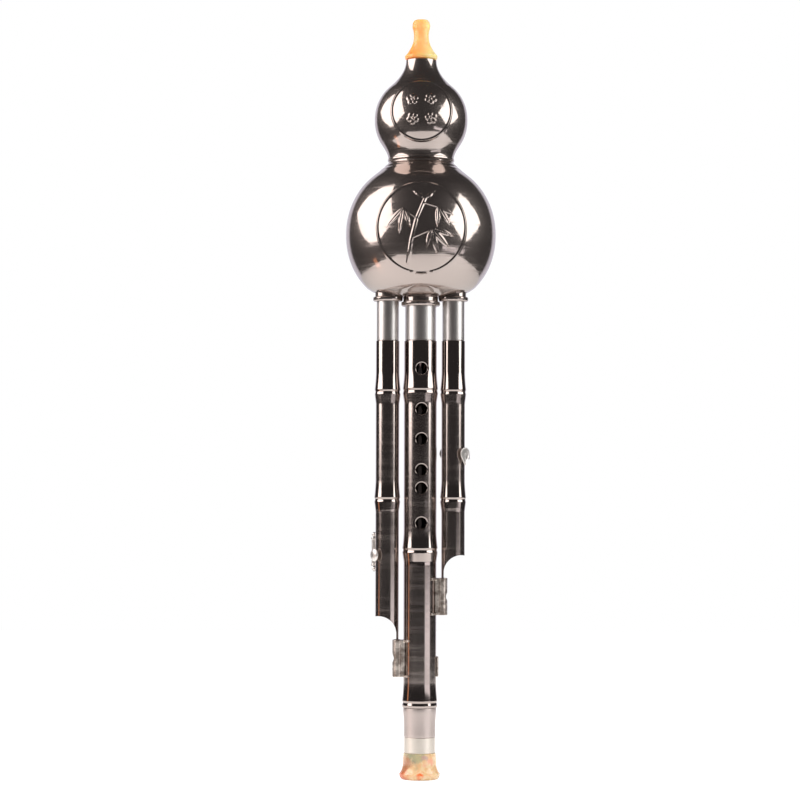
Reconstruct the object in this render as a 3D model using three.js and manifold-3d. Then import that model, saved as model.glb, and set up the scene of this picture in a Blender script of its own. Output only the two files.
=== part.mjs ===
// A hulusi: a gourd-shaped wind chamber over a fingered main pipe and two keyed drone pipes.
// Lengths are in millimetres. +Z is up and the finger holes face -Y.
// The origin is the middle of the foot's rim.

import * as THREE from "three";
import { mergeVertices } from "three/addons/utils/BufferGeometryUtils.js";
import Module from "manifold-3d";

const wasm = await Module();
wasm.setup();

// Clearances, and how far a cutter runs past the face that it cuts
const slideGap = 0.3;
const wrapGap = 0.12;
const overrun = 1;

// Foot bell, pale ring and lower joint of the main pipe
const footBellHeight = 14.9;
const footMouthRadius = 11.8;
const footRimRound = 1.6;
const footTopRadius = 9.35;
const footMouthBore = 9;
const footFlareHeight = 9;
const footRingHeight = 8.4;
const footRingRadius = 8.85;
const lowerJointLength = 16.8;
const lowerJointEndRadius = 9;
const lowerTenonRadius = 7.6;
const lowerTenonLength = 14;
const lowerJointBore = 6.4;
const jointGrooveHeight = 1.1;
const jointGrooveDepth = 0.5;

// Main pipe, measured down from its top
const mainPipeLength = 211.1;
const mainPipeRadius = 9.5;
const mainPipeBore = 8.2;
const mainNodeDrops = [28.7, 120.8, 208.4];
const fingerHoleDrops = [16.3, 39.7, 57, 74.8, 85.3, 105.4];
const fingerHoleRadius = 3.25;
const fingerHoleTurn = 4;
const thumbHoleDrop = 9.3;
const thumbHoleRadius = 2.6;
const ventDrop = 148;
const ventRadius = 2;
const holeChamfer = 0.6;

// Drone pipes, beside the main pipe
const pipeSpacing = 19;
const dronePipeRadius = 6.8;
const dronePipeBore = 5.6;
const droneNodeDrops = [29.4, 91.6];
const leftScoopDrop = 168.8;
const rightScoopDrop = 133.7;
const scoopRadius = 10;
const scoopOffset = 4.6;
const tongueEndInset = 2;

// Bamboo nodes of all three pipes
const nodeRise = 0.7;
const nodeSwell = 11;
const nodeFlare = 7;
const nodeGrooveDepth = 0.35;
const nodeChamfer = 1.1;
const nodeSeat = 1.5;

// Satin tenon sleeves, drawn out of the gourd for tuning
const sleeveExposed = 20;
const sleeveTenonDepth = 5.2;
const sleeveInside = 22;
const sleeveWall = 1.25;
const mainSleeveRadius = 8.95;
const droneSleeveRadius = 6.42;
const corkThickness = 0.75;
const corkWidth = 7;
const corkInset = 4;

// Socket ferrules under the gourd
const ferruleWall = 0.75;
const ferruleInside = 18;
const collarLip = 1.2;
const mainCollarHeight = 4.3;
const mainCollarRadius = 10.1;
const droneCollarRadius = 7.4;
const droneCollarRaise = 2.8;

// Gourd, a lower and an upper shell that meet at the waist
const gourdWall = 1.2;
const gourdBaseRadius = 28.1;
const gourdBaseRise = 4.2;
const gourdBaseCorner = 3;
const gourdBaseCornerRise = 1.9;
const lowerBulbRadius = 43.5;
const lowerBulbRise = 36.8;
const lowerBulbShoulder = 44;
const waistRise = 43.2;
const waistRadius = 18.6;
const collarRadius = 19;
const collarHeight = 1.2;
const seamBead = 0.35;
const spigotHeight = 5.5;
const upperBulbRadius = 27;
const upperBulbRise = 24.3;
const upperBulbShoulder = 25.5;
const upperBulbHip = 25.5;
const neckRise = 35.3;
const neckRadius = 8.9;
const neckBore = 6.3;
const neckSocketDepth = 10.5;

// Shares of a bulb's radius at which the sweep to the waist, the collar or the neck takes over
const hipShare = 0.63;
const waistShare = 0.84;
const neckShare = 0.68;

// Mouthpiece
const mouthpieceHeight = 23.2;
const mouthpieceTipRadius = 5.2;
const mouthpieceLipHeight = 3.9;
const mouthpieceLipRound = 1.8;
const mouthpieceWaistRadius = 4.35;
const mouthpieceWaistDrop = 9.5;
const mouthpieceFlangeRadius = 9.5;
const mouthpieceFlangeHeight = 2;
const mouthpieceBore = 1.8;
const mouthpieceTenonLength = 9.5;
const mouthpieceCorkWidth = 5;

// Free reeds in the gourd
const reedBodyLength = 34;
const reedPlugLength = 11;
const reedWall = 2.2;
const mainReedRadius = 6.4;
const droneReedRadius = 4.5;
const reedFlatShare = 0.62;
const reedPlateShare = 0.9;
const reedFlangeHeight = 1.4;
const reedPlateThickness = 0.5;
const reedPlateLength = 27;
const reedWindowLength = 20;
const reedSlit = 0.3;
const tongueRootShare = 0.55;

// Clips that hold the drone tongues on the main pipe
const clipHeight = 21.2;
const clipWall = 0.9;
const clipNotch = 0.8;
const clipRound = 1.6;
const tongueRoom = 1.1;
const leftClipDrop = 172.4;
const rightClipDrop = 136.9;
const bandThickness = 1;
const bandHeight = 11.6;
const leftBandArc = 190;
const rightBandArc = 100;

// Drone keys: a rib with two ball-ended posts, a pivot rod, and a lever with its touch and pad cup
const keyAxisRadius = 9.4;
const leftKeyDrop = 122;
const rightKeyDrop = 65.2;
const keyTouchLowering = 1.7;
const leftKeyAngle = 37;
const rightKeyAngle = 60;
const leftTouchAngle = -34;
const rightTouchAngle = -43;
const padAngleFromPivot = 55;
const keyOpening = 9;
const postSpread = 9.9;
const postRadius = 0.9;
const postBallRadius = 1.4;
const pivotRadius = 0.7;
const hingeTubeRadius = 1.5;
const ribWidth = 3.4;
const ribThickness = 0.5;
const leverThickness = 1.1;
const leverWidth = 3;
const touchRadius = 3.7;
const touchDome = 0.7;
const teardropLength = 10.4;
const teardropShoulder = 20;
const padRadius = 3.3;
const padThickness = 1.2;
const padCupWall = 0.6;
const padCupRimHeight = 1;
const toneHoleRadius = 2.2;
const chimneyWall = 0.7;
const chimneyHeight = 0.8;
const springRadius = 0.3;
const springBack = 2.2;
const springSink = 0.9;
const springLugHeight = 1.6;
const springCatchDrop = 3.2;
const springCatchHeight = 1.5;

// Facets round each turned piece, and steps along a curve
const gourdFacets = 30;
const mainFacets = 20;
const droneFacets = 16;
const smallFacets = 10;
const armSteps = 6;
const bulbSteps = 5;
const blendSteps = 3;
const bulbPower = 2.1;

// Levels that follow from the stack of pieces, from the foot up
const footRingBase = footBellHeight + slideGap;
const lowerJointBase = footRingBase + footRingHeight + slideGap;
const lowerJointTop = lowerJointBase + lowerJointLength;
const mainPipeBase = lowerJointTop + slideGap;
const pipeTop = mainPipeBase + mainPipeLength;
const sleeveShoulder = pipeTop + slideGap;
const mainCollarBase = sleeveShoulder + sleeveExposed;
const droneCollarBase = mainCollarBase + droneCollarRaise;
const gourdBottom = mainCollarBase + mainCollarHeight;
const lowerBulbCentre = gourdBottom + lowerBulbRise;
const waistLevel = lowerBulbCentre + waistRise;
const upperBulbCentre = waistLevel + upperBulbRise;
const neckTop = upperBulbCentre + neckRise;
const mouthpieceBase = neckTop + slideGap;

const degrees = THREE.MathUtils.degToRad;

// Finishes
const blackNickel = new THREE.MeshStandardMaterial({ color: 0x5a5350, roughness: 0.16, metalness: 1 });
const satinNickel = new THREE.MeshStandardMaterial({ color: 0xb8b3ad, roughness: 0.35, metalness: 1 });
const roseNickel = new THREE.MeshStandardMaterial({ color: 0xa89a96, roughness: 0.4, metalness: 1 });
const antiqueSilver = new THREE.MeshStandardMaterial({ color: 0x9a9288, roughness: 0.5, metalness: 1 });
const brightNickel = new THREE.MeshStandardMaterial({ color: 0xd8d0c8, roughness: 0.12, metalness: 1 });
const springSteel = new THREE.MeshStandardMaterial({ color: 0x4a5060, roughness: 0.3, metalness: 1 });
const reedBrass = new THREE.MeshStandardMaterial({ color: 0xc8a050, roughness: 0.35, metalness: 1 });
const amberPlastic = new THREE.MeshStandardMaterial({ color: 0xf4b266, roughness: 0.3, metalness: 0 });
const marbledPlastic = new THREE.MeshStandardMaterial({ color: 0xe8c49a, roughness: 0.25, metalness: 0 });
const reedPlastic = new THREE.MeshStandardMaterial({ color: 0xe6dfd0, roughness: 0.5, metalness: 0 });
const cork = new THREE.MeshStandardMaterial({ color: 0xb98a5a, roughness: 0.9, metalness: 0 });
const padFelt = new THREE.MeshStandardMaterial({ color: 0xf0ead8, roughness: 0.9, metalness: 0 });

// Shape helpers: outlines are [radius, height] pairs that go up the outside and down the inside

function turned(outline, facets) {
  const points = outline.map(([radius, height]) => new THREE.Vector2(radius, height));
  return new THREE.LatheGeometry(points, facets).rotateX(Math.PI / 2);
}

function tube(outside, bore, bottom, top, facets) {
  return turned([[bore, bottom], [outside, bottom], [outside, top], [bore, top], [bore, bottom]], facets);
}

function drum(radius, bottom, top, facets = smallFacets) {
  return turned([[0, bottom], [radius, bottom], [radius, top], [0, top]], facets);
}

function slab(width, depth, height) {
  return new THREE.BoxGeometry(width, depth, height);
}

function asSolid(geometry) {
  const bare = geometry.clone();
  bare.deleteAttribute("normal");
  bare.deleteAttribute("uv");
  const merged = mergeVertices(bare);
  const mesh = new wasm.Mesh({
    numProp: 3,
    vertProperties: merged.attributes.position.array,
    triVerts: new Uint32Array(merged.index.array),
  });
  return new wasm.Manifold(mesh);
}

function asGeometry(solid) {
  const mesh = solid.getMesh();
  const geometry = new THREE.BufferGeometry();
  geometry.setAttribute("position", new THREE.BufferAttribute(mesh.vertProperties, 3));
  geometry.setIndex(new THREE.BufferAttribute(mesh.triVerts, 1));
  geometry.computeVertexNormals();
  return geometry;
}

function cut(body, ...cutters) {
  return asGeometry(cutters.reduce((solid, cutter) => solid.subtract(asSolid(cutter)), asSolid(body)));
}

function join(body, ...others) {
  return asGeometry(others.reduce((solid, other) => solid.add(asSolid(other)), asSolid(body)));
}

function piece(name, geometry, material) {
  const mesh = new THREE.Mesh(geometry, material);
  mesh.name = name;
  return mesh;
}

// A quarter of a bulb as a superellipse, from its widest ring to the ring of the given end radius.
function bulbQuarter(centre, radius, rise, endRadius) {
  const endTurn = bulbTurn(radius, endRadius);
  return Array.from({ length: bulbSteps + 1 }, (_, step) => {
    const turn = (endTurn * step) / bulbSteps;
    const out = radius * Math.cos(turn) ** (2 / bulbPower);
    return [out, centre + rise * Math.sin(turn) ** (2 / bulbPower)];
  });
}

// The turn from a bulb's widest ring to the ring of the given radius.
function bulbTurn(radius, endRadius) {
  return Math.acos((endRadius / radius) ** (bulbPower / 2));
}

// A concave sweep that leaves a bulb along its slope and ends upright at the given radius and height.
function sweepTo(bulb, endRadius, endHeight) {
  const [last, before] = [bulb[bulb.length - 1], bulb[bulb.length - 2]];
  const slope = (last[1] - before[1]) / (last[0] - before[0]);
  const corner = new THREE.Vector2(endRadius, last[1] + slope * (endRadius - last[0]));
  const curve = new THREE.QuadraticBezierCurve(
    new THREE.Vector2(...last), corner, new THREE.Vector2(endRadius, endHeight));
  return curve.getPoints(blendSteps).slice(1).map((point) => [point.x, point.y]);
}

// The same outline moved inwards by a wall, each point along the normal of its neighbours.
function insetOutline(outline, wall) {
  return outline.map(([radius, height], at) => {
    const before = outline[Math.max(at - 1, 0)];
    const after = outline[Math.min(at + 1, outline.length - 1)];
    const run = new THREE.Vector2(after[0] - before[0], after[1] - before[1]).normalize();
    return [Math.max(radius - run.y * wall, 0), height + run.x * wall];
  });
}

// An inner wall needs fewer rings than the outside that is seen.
function thinned(outline) {
  return outline.filter((_, at) => at % 2 === 0 || at === outline.length - 1);
}

// The gourd's outside, in two outlines that meet at the waist

function lowerGourdOutline() {
  const hipRadius = lowerBulbRadius * hipShare;
  const baseRadius = gourdBaseRadius + gourdBaseCorner;
  const upperHalf = bulbQuarter(lowerBulbCentre, lowerBulbRadius, lowerBulbShoulder, hipRadius);
  const baseDrop = lowerBulbCentre - gourdBottom - gourdBaseRise - gourdBaseCornerRise;
  const lowerRise = baseDrop / Math.sin(bulbTurn(lowerBulbRadius, baseRadius)) ** (2 / bulbPower);
  const lowerHalf = bulbQuarter(lowerBulbCentre, lowerBulbRadius, -lowerRise, baseRadius);
  const base = Array.from({ length: blendSteps + 1 }, (_, step) => {
    const radius = (gourdBaseRadius * step) / blendSteps;
    return [radius, gourdBottom + gourdBaseRise * (radius / gourdBaseRadius) ** 2];
  });
  const waist = sweepTo(upperHalf, waistRadius, waistLevel);
  return [...base, ...lowerHalf.reverse(), ...upperHalf.slice(1), ...waist];
}

function upperGourdOutline() {
  const hipEnd = upperBulbRadius * waistShare;
  const shoulderEnd = upperBulbRadius * neckShare;
  const hip = bulbQuarter(upperBulbCentre, upperBulbRadius, -upperBulbHip, hipEnd);
  const shoulder = bulbQuarter(upperBulbCentre, upperBulbRadius, upperBulbShoulder, shoulderEnd);
  const collar = sweepTo(hip, collarRadius, waistLevel + slideGap + collarHeight);
  const neck = sweepTo(shoulder, neckRadius, neckTop);
  return [...collar.reverse(), ...hip.reverse(), ...shoulder.slice(1), ...neck];
}

function lowerGourdShell() {
  const outside = lowerGourdOutline();
  const inside = thinned(insetOutline(outside.slice(0, -1), gourdWall)).reverse();
  const spigotRadius = collarRadius - gourdWall - slideGap;
  const spigotTop = waistLevel + spigotHeight;
  const outline = [
    ...outside,
    [spigotRadius, waistLevel],
    [spigotRadius, spigotTop],
    [spigotRadius - gourdWall, spigotTop],
    [spigotRadius - gourdWall, waistLevel],
    ...inside,
  ];
  outline[outline.length - 1][0] = 0;
  return cut(turned(outline, gourdFacets), ...socketHoles());
}

function socketHoles() {
  const mainHole = mainSleeveRadius + slideGap + ferruleWall + slideGap;
  const droneHole = droneSleeveRadius + slideGap + ferruleWall + slideGap;
  const top = mainCollarBase + ferruleInside;
  return [-pipeSpacing, 0, pipeSpacing].map((across) =>
    drum(across === 0 ? mainHole : droneHole, gourdBottom - overrun, top, droneFacets)
      .translate(across, 0, 0));
}

function upperGourdShell() {
  const outside = upperGourdOutline();
  const spigotRoom = waistLevel + spigotHeight + slideGap;
  const inside = insetOutline(outside, gourdWall).filter(([radius, height]) =>
    radius > neckBore && height < neckTop - neckSocketDepth && height > spigotRoom);
  const collarBore = collarRadius - gourdWall;
  const seam = waistLevel + slideGap;
  const outline = [
    [collarBore, seam],
    [collarRadius + seamBead, seam],
    [collarRadius + seamBead, seam + collarHeight - seamBead],
    ...outside,
    [neckBore, neckTop],
    [neckBore, neckTop - neckSocketDepth],
    ...thinned(inside).reverse(),
    [collarBore, spigotRoom],
    [collarBore, seam],
  ];
  return turned(outline, gourdFacets);
}

// The filled shape of the gourd's underside, a gap larger, to shape what is seated on it.
function undersideCutter() {
  const outside = lowerGourdOutline().map(([radius, height]) => [radius, height - slideGap]);
  return turned([...outside, [0, waistLevel]], gourdFacets);
}

function mouthpieceOutline() {
  const top = mouthpieceBase + mouthpieceHeight;
  const lipMiddle = top - mouthpieceLipHeight;
  const waist = top - mouthpieceWaistDrop;
  const flange = mouthpieceBase + mouthpieceFlangeHeight;
  const lip = new THREE.CubicBezierCurve(
    new THREE.Vector2(mouthpieceWaistRadius, waist),
    new THREE.Vector2(mouthpieceWaistRadius, waist + mouthpieceLipHeight),
    new THREE.Vector2(mouthpieceTipRadius, lipMiddle - mouthpieceLipRound),
    new THREE.Vector2(mouthpieceTipRadius, lipMiddle));
  const crown = new THREE.CubicBezierCurve(
    new THREE.Vector2(mouthpieceTipRadius, lipMiddle),
    new THREE.Vector2(mouthpieceTipRadius, top),
    new THREE.Vector2(mouthpieceTipRadius - mouthpieceLipRound, top),
    new THREE.Vector2(mouthpieceTipRadius - mouthpieceLipRound, top));
  const skirt = new THREE.CubicBezierCurve(
    new THREE.Vector2(mouthpieceFlangeRadius, flange),
    new THREE.Vector2(mouthpieceWaistRadius + mouthpieceLipRound, flange + mouthpieceLipHeight),
    new THREE.Vector2(mouthpieceWaistRadius, waist - mouthpieceLipHeight),
    new THREE.Vector2(mouthpieceWaistRadius, waist));
  const points = [
    ...skirt.getPoints(2 * blendSteps),
    ...lip.getPoints(blendSteps).slice(1),
    ...crown.getPoints(blendSteps).slice(1),
  ];
  return points.map((point) => [point.x, point.y]);
}

function mouthpiece() {
  const tenonRadius = neckBore - slideGap;
  const tenonEnd = mouthpieceBase - mouthpieceTenonLength;
  const groove = tenonRadius - corkThickness;
  const top = mouthpieceBase + mouthpieceHeight;
  const rimEdge = mouthpieceFlangeRadius - mouthpieceFlangeHeight / 3;
  const grooveEnd = tenonEnd + slideGap + overrun;
  return turned([
    [mouthpieceBore, tenonEnd],
    [tenonRadius, tenonEnd],
    [tenonRadius, grooveEnd],
    [groove, grooveEnd],
    [groove, grooveEnd + mouthpieceCorkWidth],
    [tenonRadius, grooveEnd + mouthpieceCorkWidth],
    [tenonRadius, mouthpieceBase],
    [rimEdge, mouthpieceBase],
    [mouthpieceFlangeRadius, mouthpieceBase + mouthpieceFlangeHeight / 3],
    ...mouthpieceOutline(),
    [mouthpieceBore, top - mouthpieceBore / 2],
    [mouthpieceBore, tenonEnd],
  ], droneFacets);
}

function mouthpieceCork() {
  const tenonRadius = neckBore - slideGap;
  const bottom = mouthpieceBase - mouthpieceTenonLength + slideGap + overrun + wrapGap;
  const top = bottom + mouthpieceCorkWidth - 2 * wrapGap;
  return tube(tenonRadius + wrapGap, tenonRadius - corkThickness + wrapGap, bottom, top, droneFacets);
}

// Bamboo-like pipes: the outside swells to a groove at each node and flares below it.
function nodePoints(radius, level, bottom) {
  const ring = radius + nodeRise;
  const points = [
    [radius, level - nodeFlare],
    [ring, level - nodeSeat],
    [ring - nodeGrooveDepth, level],
    [ring, level + nodeChamfer],
    [radius + nodeRise / 2, level + nodeSwell / 2],
    [radius, level + nodeSwell],
  ];
  return points.filter(([, height]) => height > bottom);
}

function pipeTube(radius, bore, bottom, nodeDrops) {
  const nodes = nodeDrops.map((drop) => pipeTop - drop).reverse();
  const [lowest] = nodes;
  const endRadius = lowest - nodeFlare < bottom ? radius + nodeRise / 2 : radius;
  return turned([
    [bore, bottom],
    [endRadius, bottom],
    ...nodes.flatMap((level) => nodePoints(radius, level, bottom)),
    [radius, pipeTop],
    [bore, pipeTop],
    [bore, bottom],
  ], radius === mainPipeRadius ? mainFacets : droneFacets);
}

// A chamfered hole through one wall of a pipe, from its axis out along +X.
function wallHole(holeRadius, pipeRadius) {
  const outer = pipeRadius + overrun;
  return turned([
    [0, 0],
    [holeRadius, 0],
    [holeRadius, pipeRadius - holeChamfer],
    [holeRadius + holeChamfer + overrun, outer],
    [0, outer],
  ], smallFacets).rotateY(Math.PI / 2);
}

function mainPipe() {
  const front = -Math.PI / 2 + degrees(fingerHoleTurn);
  const fingerHoles = fingerHoleDrops.map((drop) =>
    wallHole(fingerHoleRadius, mainPipeRadius)
      .rotateZ(front)
      .translate(0, 0, pipeTop - drop));
  const thumbHole = wallHole(thumbHoleRadius, mainPipeRadius)
    .rotateZ(front + Math.PI)
    .translate(0, 0, pipeTop - thumbHoleDrop);
  const vent = wallHole(ventRadius, mainPipeRadius)
    .rotateZ(front + Math.PI)
    .translate(0, 0, pipeTop - ventDrop);
  const blank = pipeTube(mainPipeRadius, mainPipeBore, mainPipeBase, mainNodeDrops);
  return cut(blank, ...fingerHoles, thumbHole, vent);
}

// The tuning sleeve of a pipe: its shoulder rests on the pipe, and its cork band runs in the socket.
function sleeve(radius, pipeBore) {
  const spigot = pipeBore - slideGap;
  const bore = radius - corkThickness - sleeveWall;
  const top = mainCollarBase + sleeveInside;
  const corkTop = top - corkInset;
  const groove = radius - corkThickness;
  return turned([
    [bore, sleeveShoulder - sleeveTenonDepth],
    [spigot, sleeveShoulder - sleeveTenonDepth],
    [spigot, sleeveShoulder],
    [radius, sleeveShoulder],
    [radius, corkTop - corkWidth],
    [groove, corkTop - corkWidth],
    [groove, corkTop],
    [radius, corkTop],
    [radius, top],
    [bore, top],
    [bore, sleeveShoulder - sleeveTenonDepth],
  ], droneFacets);
}

function sleeveCork(radius) {
  const corkTop = mainCollarBase + sleeveInside - corkInset - wrapGap;
  const bottom = corkTop - corkWidth + 2 * wrapGap;
  return tube(radius + wrapGap, radius - corkThickness + wrapGap, bottom, corkTop, droneFacets);
}

// A ferrule: a thin tube through the gourd's wall, with a collar shaped to the gourd's underside
// and a wider lip round the collar's lower half.
function ferrule(sleeveRadius, collar, base, across) {
  const bore = sleeveRadius + slideGap;
  const outside = bore + ferruleWall;
  const top = gourdBottom + gourdBaseRise + overrun;
  const under = turned([
    [bore + ferruleWall / 2, base],
    [collar + collarLip / 2, base],
    [collar + collarLip, base + collarLip / 2],
    [collar + collarLip, base + 2 * collarLip],
    [collar, base + 2 * collarLip],
    [collar, top],
    [bore + ferruleWall / 2, top],
    [bore + ferruleWall / 2, base],
  ], droneFacets);
  const throat = tube(outside, bore, base, mainCollarBase + ferruleInside, droneFacets);
  return join(cut(under.translate(across, 0, 0), undersideCutter()), throat.translate(across, 0, 0));
}

// A reed holder: a plug in the sleeve, a flange on its end, and a capped body with a flat and a window.
function reedFlat(radius) {
  return radius * reedFlatShare;
}

function reedHolder(radius, sleeveRadius) {
  const sleeveTop = mainCollarBase + sleeveInside;
  const plug = sleeveRadius - corkThickness - sleeveWall - slideGap;
  const base = sleeveTop + slideGap;
  const top = base + reedFlangeHeight + reedBodyLength;
  const bore = radius - reedWall;
  const body = turned([
    [bore, sleeveTop - reedPlugLength],
    [plug, sleeveTop - reedPlugLength],
    [plug, base],
    [sleeveRadius, base],
    [sleeveRadius, base + reedFlangeHeight],
    [radius, base + reedFlangeHeight],
    [radius, top],
    [0, top],
    [0, top - reedWall],
    [bore, top - reedWall],
    [bore, sleeveTop - reedPlugLength],
  ], smallFacets + 2);
  const flat = reedFlat(radius);
  const flatLength = top - base - reedFlangeHeight + overrun;
  const shaving = slab(2 * radius, radius, flatLength)
    .translate(0, -flat - radius / 2, base + reedFlangeHeight + flatLength / 2);
  const windowWidth = bore * tongueRootShare * 2;
  const window = slab(windowWidth, flat + overrun, reedWindowLength)
    .translate(0, -(flat + overrun) / 2, reedMiddle());
  return cut(body, shaving, window);
}

function reedMiddle() {
  return mainCollarBase + sleeveInside + slideGap + reedFlangeHeight + reedBodyLength / 2;
}

// A brass reed plate with a long pointed tongue, free on both sides and joined at its root.
function reedPlate(radius) {
  const flat = reedFlat(radius);
  const halfWidth = Math.sqrt(radius ** 2 - flat ** 2) * reedPlateShare;
  const plate = new THREE.Shape();
  plate.moveTo(-halfWidth, -reedPlateLength / 2);
  plate.lineTo(halfWidth, -reedPlateLength / 2);
  plate.lineTo(halfWidth, reedPlateLength / 2);
  plate.lineTo(-halfWidth, reedPlateLength / 2);
  const root = (radius - reedWall) * tongueRootShare;
  const foot = -reedWindowLength / 2 + reedSlit;
  const tip = reedWindowLength / 2 - overrun;
  const slit = new THREE.Path();
  slit.moveTo(-root, foot);
  slit.lineTo(-root + reedSlit, foot);
  slit.lineTo(0, tip - reedSlit * 2);
  slit.lineTo(root - reedSlit, foot);
  slit.lineTo(root, foot);
  slit.lineTo(reedSlit, tip);
  slit.lineTo(-reedSlit, tip);
  plate.holes.push(slit);
  return new THREE.ExtrudeGeometry(plate, { depth: reedPlateThickness, bevelEnabled: false })
    .rotateX(Math.PI / 2)
    .translate(0, -flat - slideGap, reedMiddle());
}

// Foot: a pale ring and a flared bell on the tenon of the lower joint

function lowerJoint() {
  const bottom = footBellHeight - lowerTenonLength / 2;
  const tenonTop = lowerJointTop + lowerTenonLength;
  const tenon = mainPipeBore - slideGap;
  const groove = tenon - corkThickness;
  const corkTop = tenonTop - corkInset;
  const neck = mainPipeRadius - jointGrooveDepth;
  return turned([
    [lowerJointBore, bottom],
    [lowerTenonRadius, bottom],
    [lowerTenonRadius, lowerJointBase],
    [footRingRadius, lowerJointBase],
    [lowerJointEndRadius, lowerJointBase + jointGrooveHeight],
    [mainPipeRadius, lowerJointTop - 2 * jointGrooveHeight],
    [neck, lowerJointTop - jointGrooveHeight],
    [neck, lowerJointTop],
    [tenon, lowerJointTop],
    [tenon, corkTop - corkWidth],
    [groove, corkTop - corkWidth],
    [groove, corkTop],
    [tenon, corkTop],
    [tenon, tenonTop],
    [lowerJointBore, tenonTop],
    [lowerJointBore, bottom],
  ], mainFacets);
}

function lowerJointCork() {
  const tenon = mainPipeBore - slideGap;
  const corkTop = lowerJointTop + lowerTenonLength - corkInset - wrapGap;
  const bottom = corkTop - corkWidth + 2 * wrapGap;
  return tube(tenon + wrapGap, tenon - corkThickness + wrapGap, bottom, corkTop, mainFacets);
}

function footRing() {
  const bore = lowerTenonRadius + slideGap;
  return tube(footRingRadius, bore, footRingBase, footRingBase + footRingHeight, mainFacets);
}

function footBell() {
  const socket = lowerTenonRadius + slideGap;
  const socketFloor = footBellHeight - lowerTenonLength / 2 - slideGap;
  const flare = new THREE.CubicBezierCurve(
    new THREE.Vector2(footMouthRadius, 2 * footRimRound),
    new THREE.Vector2(footMouthRadius - footRimRound, 3 * footRimRound),
    new THREE.Vector2(footTopRadius + footRimRound / 4, footFlareHeight - footRimRound),
    new THREE.Vector2(footTopRadius + footRimRound / 4, footFlareHeight + footRimRound / 2));
  const rim = new THREE.CubicBezierCurve(
    new THREE.Vector2(footMouthRadius - footRimRound, 0),
    new THREE.Vector2(footMouthRadius - footRimRound / 3, footRimRound / 4),
    new THREE.Vector2(footMouthRadius, footRimRound),
    new THREE.Vector2(footMouthRadius, 2 * footRimRound));
  const outside = [...rim.getPoints(blendSteps), ...flare.getPoints(blendSteps + 2).slice(1)];
  return turned([
    [footMouthBore, 0],
    ...outside.map((point) => [point.x, point.y]),
    [footTopRadius, footBellHeight],
    [socket, footBellHeight],
    [socket, socketFloor],
    [lowerJointBore, socketFloor],
    [lowerJointBore, footRimRound * 2],
    [footMouthBore, 0],
  ], mainFacets);
}

// Everything on a drone is placed from the drone's own axis, with the main pipe towards -X

const tonguePlane = scoopOffset - scoopRadius;

function dronePipe(scoopDrop, clipDrop, key) {
  const bottom = pipeTop - clipDrop - clipHeight + tongueEndInset;
  const scoopLevel = pipeTop - scoopDrop;
  const across = 2 * (dronePipeRadius + overrun);
  const scoop = drum(scoopRadius, -across / 2, across / 2, mainFacets)
    .rotateX(Math.PI / 2)
    .translate(scoopOffset, 0, scoopLevel);
  const drop = scoopLevel - bottom + overrun;
  const reach = dronePipeRadius + overrun - tonguePlane;
  const below = slab(reach, across, drop).translate(tonguePlane + reach / 2, 0, scoopLevel - drop / 2);
  const toneTurn = degrees(key.angle + padAngleFromPivot);
  const place = (geometry) => geometry.rotateZ(toneTurn).translate(0, 0, pipeTop - key.drop);
  const seat = dronePipeRadius + chimneyHeight;
  const chimneyRadius = toneHoleRadius + chimneyWall;
  const chimney = drum(chimneyRadius, dronePipeBore, seat).rotateY(Math.PI / 2);
  const blank = pipeTube(dronePipeRadius, dronePipeBore, bottom, droneNodeDrops);
  const scooped = cut(blank, scoop, below);
  const toneHole = drum(toneHoleRadius, 0, seat + overrun).rotateY(Math.PI / 2);
  const boreClearing = drum(dronePipeBore, scoopLevel, pipeTop, droneFacets);
  return cut(join(scooped, place(chimney)), place(toneHole), boreClearing);
}

// A clip: a flattened roll that holds the tongue, a saddle on the main pipe, and lobes along its edge.
function clip(clipDrop, bandArc) {
  const bottom = pipeTop - clipDrop - clipHeight;
  const tongueHalf = Math.sqrt(dronePipeRadius ** 2 - tonguePlane ** 2);
  const inner = -dronePipeRadius - slideGap;
  const outer = tonguePlane + slideGap + tongueRoom;
  const half = tongueHalf + slideGap;
  const rollOuter = outer + clipWall;
  const rollHalf = half + clipWall;
  const seat = mainPipeRadius + slideGap;
  const blank = new THREE.Shape();
  blank.moveTo(-pipeSpacing + mainPipeRadius - overrun, -rollHalf);
  blank.lineTo(rollOuter - clipRound, -rollHalf);
  blank.quadraticCurveTo(rollOuter, -rollHalf, rollOuter, -rollHalf + clipRound);
  blank.lineTo(rollOuter, rollHalf - clipRound);
  blank.quadraticCurveTo(rollOuter, rollHalf, rollOuter - clipRound, rollHalf);
  blank.lineTo(-pipeSpacing + mainPipeRadius - overrun, rollHalf);
  const settings = { depth: clipHeight, bevelEnabled: false, curveSegments: blendSteps };
  const body = new THREE.ExtrudeGeometry(blank, settings).translate(0, 0, bottom);
  const slot = slab(outer - inner, 2 * half, clipHeight + 2 * overrun)
    .translate((outer + inner) / 2, 0, bottom + clipHeight / 2);
  const pipeRoom = drum(seat, bottom - overrun, bottom + clipHeight + overrun, mainFacets)
    .translate(-pipeSpacing, 0, 0);
  const notchRadius = clipHeight / 6;
  const notches = [0, clipHeight / 2, clipHeight].map((level) =>
    drum(notchRadius, -rollHalf - overrun, rollHalf + overrun)
      .rotateX(Math.PI / 2)
      .translate(rollOuter + notchRadius - clipNotch, 0, bottom + level));
  const band = bandSector(bandArc, bottom);
  return cut(join(body, band), slot, pipeRoom, ...notches);
}

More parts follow.
